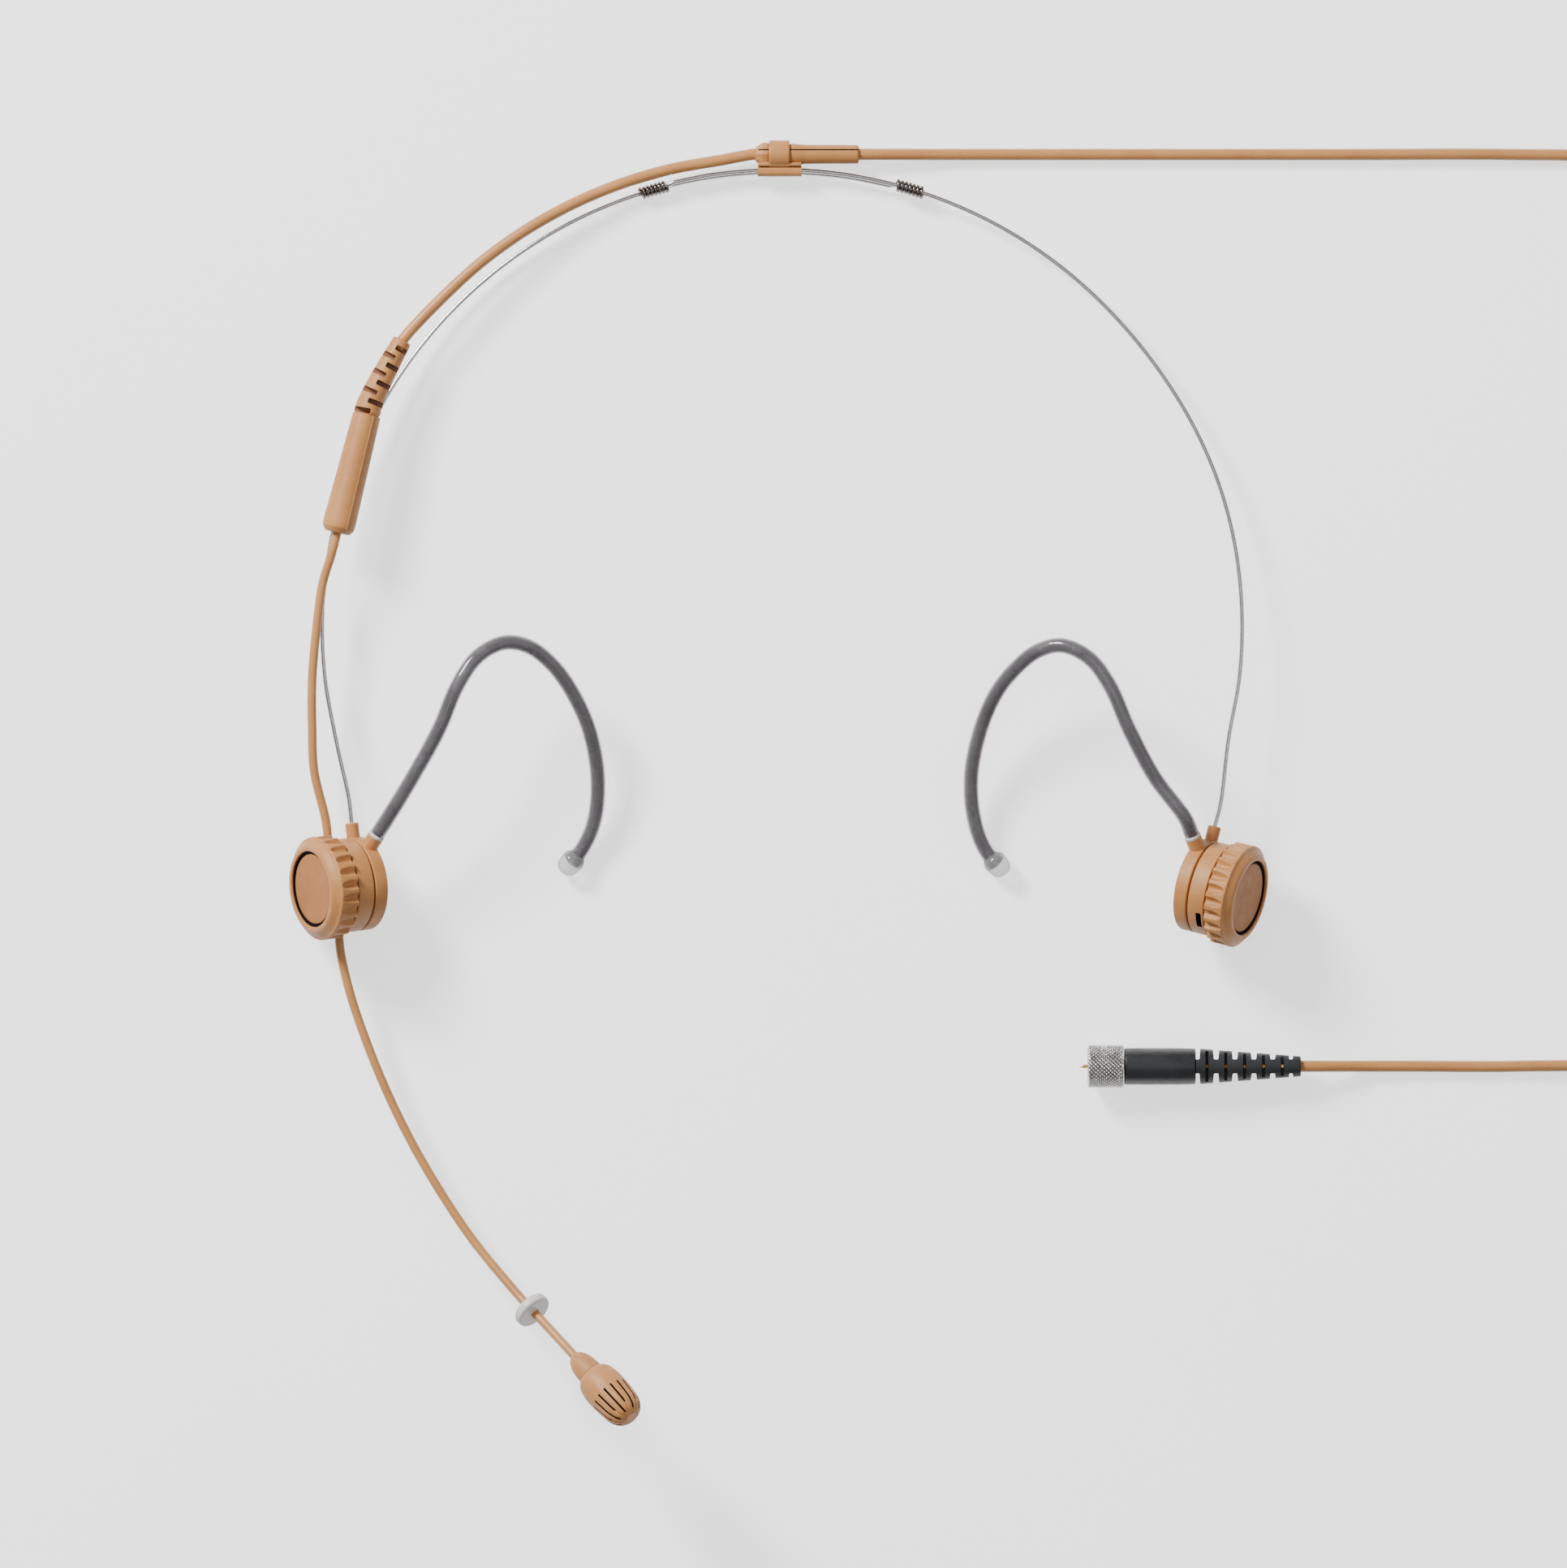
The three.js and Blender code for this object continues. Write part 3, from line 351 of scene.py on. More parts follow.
def spline(points, per_span=8):
    """A centripetal Catmull-Rom curve through the points."""
    p = [Vector(q) for q in points]
    p = [2 * p[0] - p[1], *p, 2 * p[-1] - p[-2]]
    out = []
    for a, b, c, d in zip(p, p[1:], p[2:], p[3:]):
        t1 = (b - a).length ** 0.5
        t2 = t1 + (c - b).length ** 0.5
        t3 = t2 + (d - c).length ** 0.5
        for k in range(per_span):
            t = t1 + (t2 - t1) * k / per_span
            ab = a.lerp(b, t / t1)
            bc = b.lerp(c, (t - t1) / (t2 - t1))
            cd = c.lerp(d, (t - t2) / (t3 - t2))
            abc = ab.lerp(bc, t / t2)
            bcd = bc.lerp(cd, (t - t1) / (t3 - t1))
            out.append(abc.lerp(bcd, (t - t1) / (t2 - t1)))
    return out + [p[-2]]


def smoothstep(x, low, high):
    t = min(1.0, max(0.0, (x - low) / (high - low)))
    return t * t * (3 - 2 * t)


def length_of(path):
    return sum((b - a).length for a, b in zip(path, path[1:]))


def stretch(path, start, end):
    """The part of a path between two distances along it."""
    out, gone = [], 0.0
    for a, b in zip(path, path[1:]):
        step = (b - a).length
        for mark in (start, end):
            if gone <= mark < gone + step:
                out.append(a.lerp(b, (mark - gone) / step))
        if start < gone + step < end:
            out.append(b.copy())
        gone += step
    return out


def frames_along(path):
    """Tangent, side and up at each point, with no twist."""
    tangents = []
    for i in range(len(path)):
        a, b = path[max(i - 1, 0)], path[min(i + 1, len(path) - 1)]
        tangents.append((b - a).normalized())
    side = tangents[0].orthogonal().normalized()
    if abs(tangents[0].z) < 0.9:
        side = tangents[0].cross(Vector((0, 0, 1))).normalized()
    frames = []
    for i, tangent in enumerate(tangents):
        if i:
            turn = tangents[i - 1].rotation_difference(tangent)
            side = turn @ side
        side = (side - tangent * side.dot(tangent)).normalized()
        frames.append((tangent, side, side.cross(tangent)))
    return frames


def skin(bm, loops, closed=False):
    """Joins loops of vertices with quads, into a ring or with a cap at both ends."""
    for a, b in zip(loops, loops[1:] + loops[:1] if closed else loops[1:]):
        for j in range(len(a)):
            k = (j + 1) % len(a)
            bm.faces.new((a[j], a[k], b[k], b[j]))
    if not closed:
        bm.faces.new(reversed(loops[0]))
        bm.faces.new(loops[-1])


ROUND_TIP, ROUND_REACH = 0.08, 0.5
FLAT_TIP, FLAT_REACH = 0.88, 0.12
END_RINGS = 5


def sweep(path, radius, sides=20, flat=False):
    """A closed round bar along a path. radius is a number or a function of the share along it.

    An end starts at tip times its radius, and is full after reach times its radius.
    """
    bm = bmesh.new()
    frames = frames_along(path)
    total = length_of(path)
    wide = radius if callable(radius) else (lambda share: radius)
    tip, reach = (FLAT_TIP, FLAT_REACH) if flat else (ROUND_TIP, ROUND_REACH)
    rings, gone = [], 0.0

    def ring(centre, frame, r):
        verts = []
        for j in range(sides):
            a = 2 * math.pi * j / sides
            offset = frame[1] * (r * math.cos(a)) + frame[2] * (r * math.sin(a))
            verts.append(bm.verts.new(centre + offset))
        rings.append(verts)

    def end_rings(i, inward, r):
        """(centre, radius) of an end's rings, from its tip inwards."""
        steps = [(path[i], r * tip)]
        for k in range(1, 1 if flat else END_RINGS):
            a = 0.5 * math.pi * k / END_RINGS
            centre = path[i] + frames[i][0] * (inward * r * reach * (1 - math.cos(a)))
            steps.append((centre, r * math.sin(a)))
        return steps

    r0, r1 = wide(0.0), wide(1.0)
    for centre, r in end_rings(0, 1, r0):
        ring(centre, frames[0], r)
    for i, point in enumerate(path):
        if i:
            gone += (point - path[i - 1]).length
        if r0 * reach <= gone <= total - r1 * reach:
            ring(point, frames[i], wide(gone / total))
    for centre, r in reversed(end_rings(-1, -1, r1)):
        ring(centre, frames[-1], r)
    skin(bm, rings)
    return bm


def round_edges(bm, edges, bevel, steps):
    bmesh.ops.bevel(bm, geom=edges, offset=bevel, segments=steps, affect="EDGES", profile=0.5)


def block(size, centre, bevel=0.12, steps=3):
    """A box with rounded edges."""
    bm = bmesh.new()
    bmesh.ops.create_cube(bm, size=1.0)
    bm.transform(Matrix.Translation(centre) @ Matrix.Diagonal((*size, 1)))
    if bevel:
        round_edges(bm, bm.edges[:], bevel, steps)
    return bm


def merge(*parts):
    """Several closed shapes as one mesh, for pieces that are moulded together."""
    whole = bmesh.new()
    for part in parts:
        mesh = bpy.data.meshes.new("part")
        part.to_mesh(mesh)
        part.free()
        whole.from_mesh(mesh)
        bpy.data.meshes.remove(mesh)
    return whole


def cut(obj, matrix, cutters, mode="DIFFERENCE", inside=None):
    """Cuts or joins shapes in millimetres into an object. inside is the cut faces' material."""
    for i, cutter in enumerate(cutters):
        tool = finish_mesh(f"{obj.name}_tool_{i}", cutter, inside or "gap", matrix)
        modifier = obj.modifiers.new("cut", "BOOLEAN")
        modifier.operation = mode
        modifier.solver = "EXACT"
        modifier.material_mode = "TRANSFER" if inside else "INDEX"
        modifier.object = tool
        bpy.context.view_layer.update()
        evaluated = obj.evaluated_get(bpy.context.evaluated_depsgraph_get())
        result = bpy.data.meshes.new_from_object(evaluated)
        obj.modifiers.clear()
        obj.data = result
        bpy.data.objects.remove(tool)
    bm = bmesh.new()
    bm.from_mesh(obj.data)
    mark_sharp(bm)
    bm.to_mesh(obj.data)
    bm.free()


def place(x, y, z, point):
    """The matrix of a frame with these three directions at a point."""
    return Matrix.Translation(point) @ Matrix((x, y, z)).transposed().to_4x4()


def frame_at(point, axis):
    """A matrix in metres whose Z runs along axis, and whose X is level, from a row-frame point."""
    z = Vector(axis).normalized()
    x = Vector((0, 0, 1)).cross(z).normalized()
    return place(x, z.cross(x), z, point)


# --- camera, light and floor ---
VIEW_CENTRE = row((0.79, -0.31, 0))
VIEW_WIDTH = 0.2178
LENS = 600.0
SENSOR = 36.0

camera_data = bpy.data.cameras.new("camera")
camera_data.lens = LENS
camera_data.sensor_width = SENSOR
camera_data.clip_end = 20
camera = bpy.data.objects.new("camera", camera_data)
camera.location = VIEW_CENTRE + Vector((0, 0, VIEW_WIDTH * LENS / SENSOR))
bpy.context.scene.collection.objects.link(camera)
bpy.context.scene.camera = camera


def area_light(name, position, size, power):
    data = bpy.data.lights.new(name, "AREA")
    data.shape = "DISK"
    data.size = size
    data.energy = power
    light = bpy.data.objects.new(name, data)
    light.location = position
    light.rotation_mode = "QUATERNION"
    light.rotation_quaternion = (-Vector(position)).to_track_quat("-Z", "Y")
    bpy.context.scene.collection.objects.link(light)


area_light("key", (-0.60, 0.66, 0.62), 0.32, 19.0)
area_light("fill", (0.75, -0.1, 0.8), 0.8, 1.0)
area_light("top", (0.0, 0.1, 1.3), 0.9, 2.0)

world = bpy.data.worlds.new("studio")
world.use_nodes = True
background = world.node_tree.nodes["Background"]
background.inputs["Color"].default_value = (1, 1, 1, 1)
background.inputs["Strength"].default_value = 0.32
bpy.context.scene.world = world


FLOOR_HALF = 1500
FLOOR_DROP = 0.1


def floor():
    """White paper that glows a little, and does not light the object from below."""
    m = Nodes("paper")
    m.colour(m.mix(m.ramp(m.noise(60, 2.0), 0, 1), (0.93, 0.93, 0.93), (0.91, 0.91, 0.91)))
    m.set(Roughness=0.95, Specular_IOR_Level=0.1)
    m.set(Emission_Color=(1, 1, 1, 1), Emission_Strength=1.3)
    MATERIALS["paper"] = m.material
    bm = bmesh.new()
    bmesh.ops.create_grid(bm, x_segments=1, y_segments=1, size=FLOOR_HALF)
    obj = finish_mesh("floor", bm, "paper", Matrix.Translation((0, 0, -FLOOR_DROP * MM)))
    obj.visible_diffuse = False


floor()

# --- lead: a free cord from the clip to the connector, with a coil ---
LEAD_D = 1.6
CLIP_X = 0.2
CLIP_LEAD_Y = BAND_CENTRE.y + BAND_RADIUS + 2.3
STRAP_D = 3.9
SLEEVE_END = 11.3
PLUG_Y = -39.5
PLUG_Z = 2.95
NUT_FACE_X = 43
RELIEF_END_X = 72.6
COIL_CENTRE = Vector((131, 24, 0))
COIL_MEAN_D = 25.0
COIL_ROWS = 4
COIL_LOW = 0.4
COIL_POINTS = 28
COIL_SHIFT = 0.25
LEAD_LOW = LEAD_D / 2 + 0.08
STRAND_R = COIL_MEAN_D / 2 + 1.5 * LEAD_D
STRAND_X = COIL_CENTRE.x + STRAND_R


def coil_seat(turn):
    """Radius and height of a turn: in along the lowest row, out along the next, and so on up."""
    layer, column = divmod(turn, COIL_ROWS)
    column = column if layer % 2 else COIL_ROWS - 1 - column
    inner = COIL_MEAN_D / 2 - 1.5 * LEAD_D
    return inner + column * LEAD_D, COIL_LOW + (layer + 0.5) * LEAD_D


def coil_turns():
    """Clockwise turns from above. Each shifts to the next one's seat in its last quarter."""
    points = []
    last = COIL_ROWS * COIL_ROWS - 1
    for turn in range(last + 1):
        here = coil_seat(turn)
        after = coil_seat(min(turn + 1, last))
        for k in range(COIL_POINTS):
            share = k / COIL_POINTS
            t = smoothstep(share, 1 - COIL_SHIFT, 1)
            angle = -2 * math.pi * share
            r = here[0] + (after[0] - here[0]) * t
            z = here[1] + (after[1] - here[1]) * t
            points.append(COIL_CENTRE + Vector((r * math.cos(angle), r * math.sin(angle), z)))
    points.append(COIL_CENTRE + Vector((STRAND_R, 0, coil_seat(last)[1])))
    return points


TOP_ROW = COIL_LOW + (COIL_ROWS - 0.5) * LEAD_D
lead_out = [
    (SLEEVE_END - 2, CLIP_LEAD_Y, STRAP_D / 2), (SLEEVE_END + 0.3, CLIP_LEAD_Y, STRAP_D / 2),
    (SLEEVE_END + 5, CLIP_LEAD_Y, 1.75), (SLEEVE_END + 12, CLIP_LEAD_Y, 1.1),
    (SLEEVE_END + 20, CLIP_LEAD_Y, LEAD_LOW), (50, CLIP_LEAD_Y, LEAD_LOW),
    (80, CLIP_LEAD_Y, LEAD_LOW), (102, CLIP_LEAD_Y, LEAD_LOW), (115, 86.6, LEAD_LOW),
    (127, 83.5, LEAD_LOW), (136.5, 77, LEAD_LOW), (142.6, 68, LEAD_LOW), (145.4, 57, LEAD_LOW),
    (STRAND_X, 46, 0.9), (STRAND_X, 36, COIL_LOW + 0.8), (STRAND_X, 29, COIL_LOW + 0.8),
]
lead_back = [
    (STRAND_X, 19, TOP_ROW), (STRAND_X, 14, TOP_ROW - 0.15), (STRAND_X, 8.5, TOP_ROW - 1.0),
    (145.6, 2, 3.2), (144.6, -7, 1.3), (141.6, -18, LEAD_LOW), (136, -27.5, LEAD_LOW),
    (127.5, -34.6, LEAD_LOW), (116, -38.8, LEAD_LOW), (103, PLUG_Y, LEAD_LOW),
    (88, PLUG_Y, LEAD_LOW), (81, PLUG_Y, 1.3), (76, PLUG_Y, 2.6),
    (RELIEF_END_X - 0.6, PLUG_Y, PLUG_Z),
]
lead_path = spline(lead_out, 6) + coil_turns() + spline(lead_back, 6)
lead = settle(
    finish_mesh("lead", sweep(lead_path, LEAD_D / 2, 12), "cable"),
    "clip", "lead_to_coil", "lead_coil", "lead_to_connector",
)


TIE_HALF = 3.0
TIE_WALL = 0.3
TIE_CORNER = 0.18


def coil_tie():
    """A flat band round the coil's bundle."""
    low, high = 0.02, COIL_LOW + COIL_ROWS * LEAD_D + 0.55
    half_rows = COIL_ROWS * LEAD_D / 2
    outside = COIL_MEAN_D / 2 + half_rows + 0.35
    inside = math.sqrt((COIL_MEAN_D / 2 - half_rows) ** 2 - TIE_HALF ** 2) - 0.5
    middle = COIL_CENTRE - Vector(((outside + inside) / 2, 0, 0))
    middle.z = (low + high) / 2
    half_x, half_z = (outside - inside) / 2, (high - low) / 2
    corners = [Vector((a * half_x, b * half_z)) for a, b in ((-1, -1), (1, -1), (1, 1), (-1, 1))]
    path = []
    for start, end in zip(corners, corners[1:] + corners[:1]):
        back = (end - start) * TIE_CORNER
        path += [start + back, start.lerp(end, 0.5), end - back]
    bm = bmesh.new()
    rings = []
    for x, z in path:
        inward = 1 - TIE_WALL / max(abs(x), abs(z), 1.0)
        verts = []
        for scale, y in ((1, -TIE_HALF), (1, TIE_HALF), (inward, TIE_HALF), (inward, -TIE_HALF)):
            verts.append(bm.verts.new(middle + Vector((x * scale, y, z * scale))))
        rings.append(verts)
    skin(bm, rings, closed=True)
    obj = finish_mesh("coil_tie_band", bm, "relief")
    return settle(obj, "clip", "coil_tie")


tie = coil_tie()

# --- hub frames, from the joints ---


def hub_matrix(label, side):
    """Y towards the band and Z out to the knob. side is 1 on the left, -1 on the right."""
    joint = JOINTS[f"{label}_knob_turn"]
    axis = Vector(joint["axis"]).normalized()
    up = (Vector((0, 0, 1)).cross(axis) * -side).normalized()
    return place(up.cross(axis), up, axis, joint["pos_m"])


HUBS = {"left": (1, hub_matrix("left", 1)), "right": (-1, hub_matrix("right", -1))}


def hub_point(label, x, y, z):
    """A point of a hub's local frame, in design millimetres."""
    side, matrix = HUBS[label]
    return (matrix @ (Vector((side * x, y, z)) * MM)) / MM - SHIFT


# Hub stack, as in the design.
PAD_R = 6.5
PAD_T = 2.05
LAYER_GAP = 0.25
RING_T = 2.45
KNOB_R = 7.2
KNOB_T = 3.85
RING_Z = PAD_T + LAYER_GAP
KNOB_Z = RING_Z + RING_T + LAYER_GAP
HUB_T = KNOB_Z + KNOB_T
BORE_R = 1.6
MOUTH_R = 5.3
RECESS_Z = HUB_T - 0.85
CAP_R = 4.85
FLUTES = 24
FLUTE_DEPTH = 0.68
FLUTE_HALF = 0.68
FLUTE_TOP = KNOB_Z + 2.75
BOOM_CHORD = 2.5
BOOM_Z = RING_Z + 1.45


def knob_relief(r, z, angle):
    """Finger flutes, deepest at the back of the rim, that run out round at the front."""
    along = (z - KNOB_Z) / (FLUTE_TOP - KNOB_Z)
    if r < KNOB_R - 0.75 or along >= 1:
        return r
    pitch = 2 * math.pi / FLUTES
    off = abs(angle / pitch - round(angle / pitch)) * pitch * KNOB_R
    run_out = math.sqrt(1 - max(0.0, along) ** 3)
    across = off / (FLUTE_HALF * run_out)
    if across >= 1:
        return r
    return min(r, KNOB_R - FLUTE_DEPTH * run_out * (1 - across * across) ** 0.8)


def knob(label):
    """The fluted shell, a ring of painted shadow in the groove round its recess, and the disc in
    it.
    """
    matrix = HUBS[label][1]
    body = f"{label}_knob"
    profile = rounded([
        (BORE_R, KNOB_Z + 0.02), (KNOB_R - 0.55, KNOB_Z + 0.02, 0.12),
        (KNOB_R - 0.02, KNOB_Z + 0.12, 0.12), (KNOB_R, FLUTE_TOP + 0.1, 0.5),
        (KNOB_R - 0.38, RECESS_Z, 0.6), (KNOB_R - 1.25, HUB_T, 0.45), (MOUTH_R, HUB_T, 0.16),
        (MOUTH_R - 0.02, RECESS_Z, 0.1), (BORE_R, RECESS_Z), (BORE_R, KNOB_Z + 0.02),
    ])
    shell = revolve(dense(profile, 0.16), FLUTES * 16, knob_relief)
    obj = finish_mesh(f"{label}_knob_shell", shell, "tan", matrix, sharp=math.radians(50))
    settle(obj, body, f"{label}_lock_knob")
    # The groove ring is painted shadow: a near-black sheet where the recess wall casts shade.
    groove = revolve(rounded([
        (CAP_R - 0.6, HUB_T - 0.84), (MOUTH_R - 0.01, HUB_T - 0.84),
        (MOUTH_R - 0.01, HUB_T - 0.28), (MOUTH_R - 0.06, HUB_T - 0.28),
        (MOUTH_R - 0.06, HUB_T - 0.7), (CAP_R - 0.6, HUB_T - 0.7), (CAP_R - 0.6, HUB_T - 0.84),
    ]))
    obj = finish_mesh(f"{label}_knob_shadow_ring", groove, "gap", matrix)
    settle(obj, body)
    disc = revolve(rounded([
        (0, HUB_T - 0.80), (CAP_R, HUB_T - 0.80, 0.05), (CAP_R, HUB_T - 0.40, 0.12),
        (CAP_R - 0.5, HUB_T - 0.38), (0, HUB_T - 0.36),
    ]))
    obj = finish_mesh(f"{label}_cap_disc", disc, "disc", matrix)
    settle(obj, body, f"{label}_knob_cap")


def boss(start, end, radius, bore, depth):
    """A round boss between two local points, with a softly rounded mouth and a blind bore."""
    length = (end - start).length
    bm = revolve(rounded([
        (0, 0), (radius, 0), (radius, length, 0.28), (bore, length, 0.05),
        (bore, length - depth), (0, length - depth),
    ]), 28)
    turn = Vector((0, 0, 1)).rotation_difference((end - start).normalized())
    bm.transform(Matrix.Translation(start) @ turn.to_matrix().to_4x4())
    return bm


HOOK_ANGLE = math.radians(38)
HOOK_REACH = 8.2
HOOK_LEAN = Vector((0.62, 0.72, -0.33)).normalized()
HOOK_MOUTH = Vector((
    HOOK_REACH * math.sin(HOOK_ANGLE), HOOK_REACH * math.cos(HOOK_ANGLE), 0.2,
))
SOCKET_REACH = 8.5
SOCKET_Z = 1.1


def hub_base(label):
    """The pad, its wire socket and its hook socket are one moulding."""
    side, matrix = HUBS[label]
    pad = revolve(dense(rounded([
        (1.55, 1.1), (2.9, 1.1), (2.9, 0.03, 0.1), (PAD_R - 0.02, 0.03, 0.35),
        (PAD_R, PAD_T, 0.22), (4.2, PAD_T), (4.2, PAD_T - 0.6), (1.55, PAD_T - 0.6), (1.55, 1.1),
    ]), 1.0))
    base = finish_mesh(f"{label}_pad", pad, "tan", matrix)
    socket = [Vector((0, y, SOCKET_Z)) for y in (PAD_R - 1.0, SOCKET_REACH)]
    mirror = Vector((side, 1, 1))
    mouth, lean = HOOK_MOUTH * mirror, HOOK_LEAN * mirror
    bosses = [boss(*socket, 0.925, 0.36, 0.8), boss(mouth - lean * 2.3, mouth, 1.15, 0.98, 0.5)]
    cut(base, matrix, bosses, "UNION")
    settle(base, f"{label}_frame", f"{label}_hub_base")


def clamp_ring(label):
    """The ring between pad and knob, with the boom's channel and a key slot in its rim."""
    side, matrix = HUBS[label]
    top = RING_Z + RING_T
    clamp = revolve(dense(rounded([
        (1.55, RING_Z + 0.02), (PAD_R, RING_Z + 0.02, 0.14), (PAD_R, top - 0.02, 0.14),
        (1.55, top - 0.02), (1.55, RING_Z + 0.02),
    ]), 1.2))
    ring = finish_mesh(f"{label}_ring", clamp, "tan", matrix)
    high, low = top + 1, BOOM_Z - 0.85
    channel = block((1.9, 15, high - low), (-side * BOOM_CHORD, 0, (high + low) / 2), 0)
    cut(ring, matrix, [channel])
    # The key slot is at the same local X on both hubs, though the rest is mirrored.
    key_slot = block((2.2, 2.3, 0.8), (-4.5, -4.9, top - 0.75), 0.15)
    # The key slot's cut faces take the dark gap colour, a painted shade.
    cut(ring, matrix, [key_slot], inside="gap")
    owner = "boom_holder" if label == "left" else "right_holder"
    settle(ring, owner, f"{label}_clamp_ring")


for label in HUBS:
    knob(label)
    hub_base(label)
    clamp_ring(label)

# --- band ---


def band_point(angle, z, spread=0.0):
    a = math.radians(angle)
    r = BAND_RADIUS + spread
    return BAND_CENTRE + Vector((r * math.cos(a), r * math.sin(a), z))


WIRE_D = 0.6
WIRE_Z = {"left": 1.3, "right": 2.2}
WIRE_SIDE = {"left": -0.14, "right": 0.14}
WRAP_ANGLE = {"left": 106.0, "right": 73.4}
WRAP_LENGTH = 3.9
WRAP_HALF = math.degrees(WRAP_LENGTH / 2 / BAND_RADIUS)
HELIX_R = 0.66
HELIX_WIRE_D = 0.49
HELIX_TURNS = 7
HELIX_POINTS = 18
LOWEST_ANGLE = -14
ANGLE_STEP = 8
BOW_OUT = {"left": 0.0, "right": 0.8}


def helix_point(label, angle, phase):
    """A point on the winding round one band wire."""
    a = math.radians(angle)
    outward = Vector((math.cos(a), math.sin(a), 0))
    around = outward * math.cos(phase) + Vector((0, 0, 1)) * math.sin(phase)
    return band_point(angle, WIRE_Z[label], WIRE_SIDE[label]) + HELIX_R * around


def band_wire(label):
    """A band wire from its hub to the winding on the other wire, where its own end goes round."""
    other, towards = ("right", 1) if label == "left" else ("left", -1)
    z, aside = WIRE_Z[label], WIRE_SIDE[label]
    start_z = hub_point(label, 0, SOCKET_REACH + 0.3, SOCKET_Z).z
    points = [hub_point(label, 0, SOCKET_REACH + out, SOCKET_Z) for out in (-0.6, 0.3, 3.3)]
    winding = WRAP_ANGLE[other]
    end = winding + towards * (WRAP_HALF + 0.9)
    # Angles run up from the hub, so the left wire's are counted from the other end of the band.
    last = 180 - end if label == "left" else end
    angle = LOWEST_ANGLE
    while angle < last - ANGLE_STEP / 2:
        height = z + (start_z - z) * (1 - smoothstep(angle, -22, 55))
        spread = BOW_OUT[label] * (1 - smoothstep(angle, 10, 42))
        spread += aside * smoothstep(angle, 0, 30)
        points.append(band_point(180 - angle if label == "left" else angle, height, spread))
        angle += ANGLE_STEP
    points.append(band_point(end, z, aside))
    phase = -towards * math.pi / 2
    meet = helix_point(other, winding + towards * WRAP_HALF, phase)
    path = spline(points, 10)
    path += [path[-1].lerp(meet, t) for t in (0.35, 0.7, 1)]
    wire = finish_mesh(f"{label}_wire", sweep(path, WIRE_D / 2, 14), "wire")
    settle(wire, f"{label}_frame", f"{label}_band_wire")

    turns = []
    count = HELIX_TURNS * HELIX_POINTS
    for k in range(count + 1):
        share = k / count
        at = winding + towards * WRAP_HALF * (1 - 2 * share)
        turns.append(helix_point(other, at, phase + 2 * math.pi * HELIX_TURNS * share))
    tail = (turns[-1] - turns[-2]).normalized()
    turns.append(turns[-1] + tail * 0.35 - Vector((0, 0, 0.05)))
    coil = finish_mesh(f"{other}_winding", sweep(turns, HELIX_WIRE_D / 2, 10), "wrap")
    settle(coil, f"{label}_frame", f"{other}_wire_wrap")


for label in HUBS:
    band_wire(label)

# --- clip ---
RAIL_Y = BAND_CENTRE.y + BAND_RADIUS
RAIL_LOW, RAIL_HIGH = 0.475, 3.025
RAIL_L = 6.1
SLEEVE_FROM = CLIP_X - 3.3
ALONG_X = Matrix.Rotation(math.pi / 2, 4, "Y")


def along_x(bm, x, y, z):
    bm.transform(Matrix.Translation((x, y, z)) @ ALONG_X)
    return bm


def oval_tube(length, outer, inner, centre, sides=56):
    """A tube along X with a squarish oval section; outer and inner are (half Y, half Z)."""
    bm = bmesh.new()
    loops = []
    for (half_y, half_z), x in ((outer, -0.5), (outer, 0.5), (inner, 0.5), (inner, -0.5)):
        loop = []
        for j in range(sides):
            a = 2 * math.pi * j / sides
            c, d = math.cos(a), math.sin(a)
            y = math.copysign(abs(c) ** 0.6, c) * half_y
            z = math.copysign(abs(d) ** 0.6, d) * half_z
            loop.append(bm.verts.new(Vector((x * length, y, z)) + Vector(centre)))
        loops.append(loop)
    skin(bm, loops, closed=True)
    return bm


def eight_sided(r, z, angle):
    """The mouth of the tube is eight-sided as far as the strap."""
    side = math.pi / 4
    turn = angle % side - side / 2
    share = 1 - smoothstep(z, 1.75, 2.1)
    return r * (1 - share * (1 - math.cos(side / 2) / math.cos(turn)))


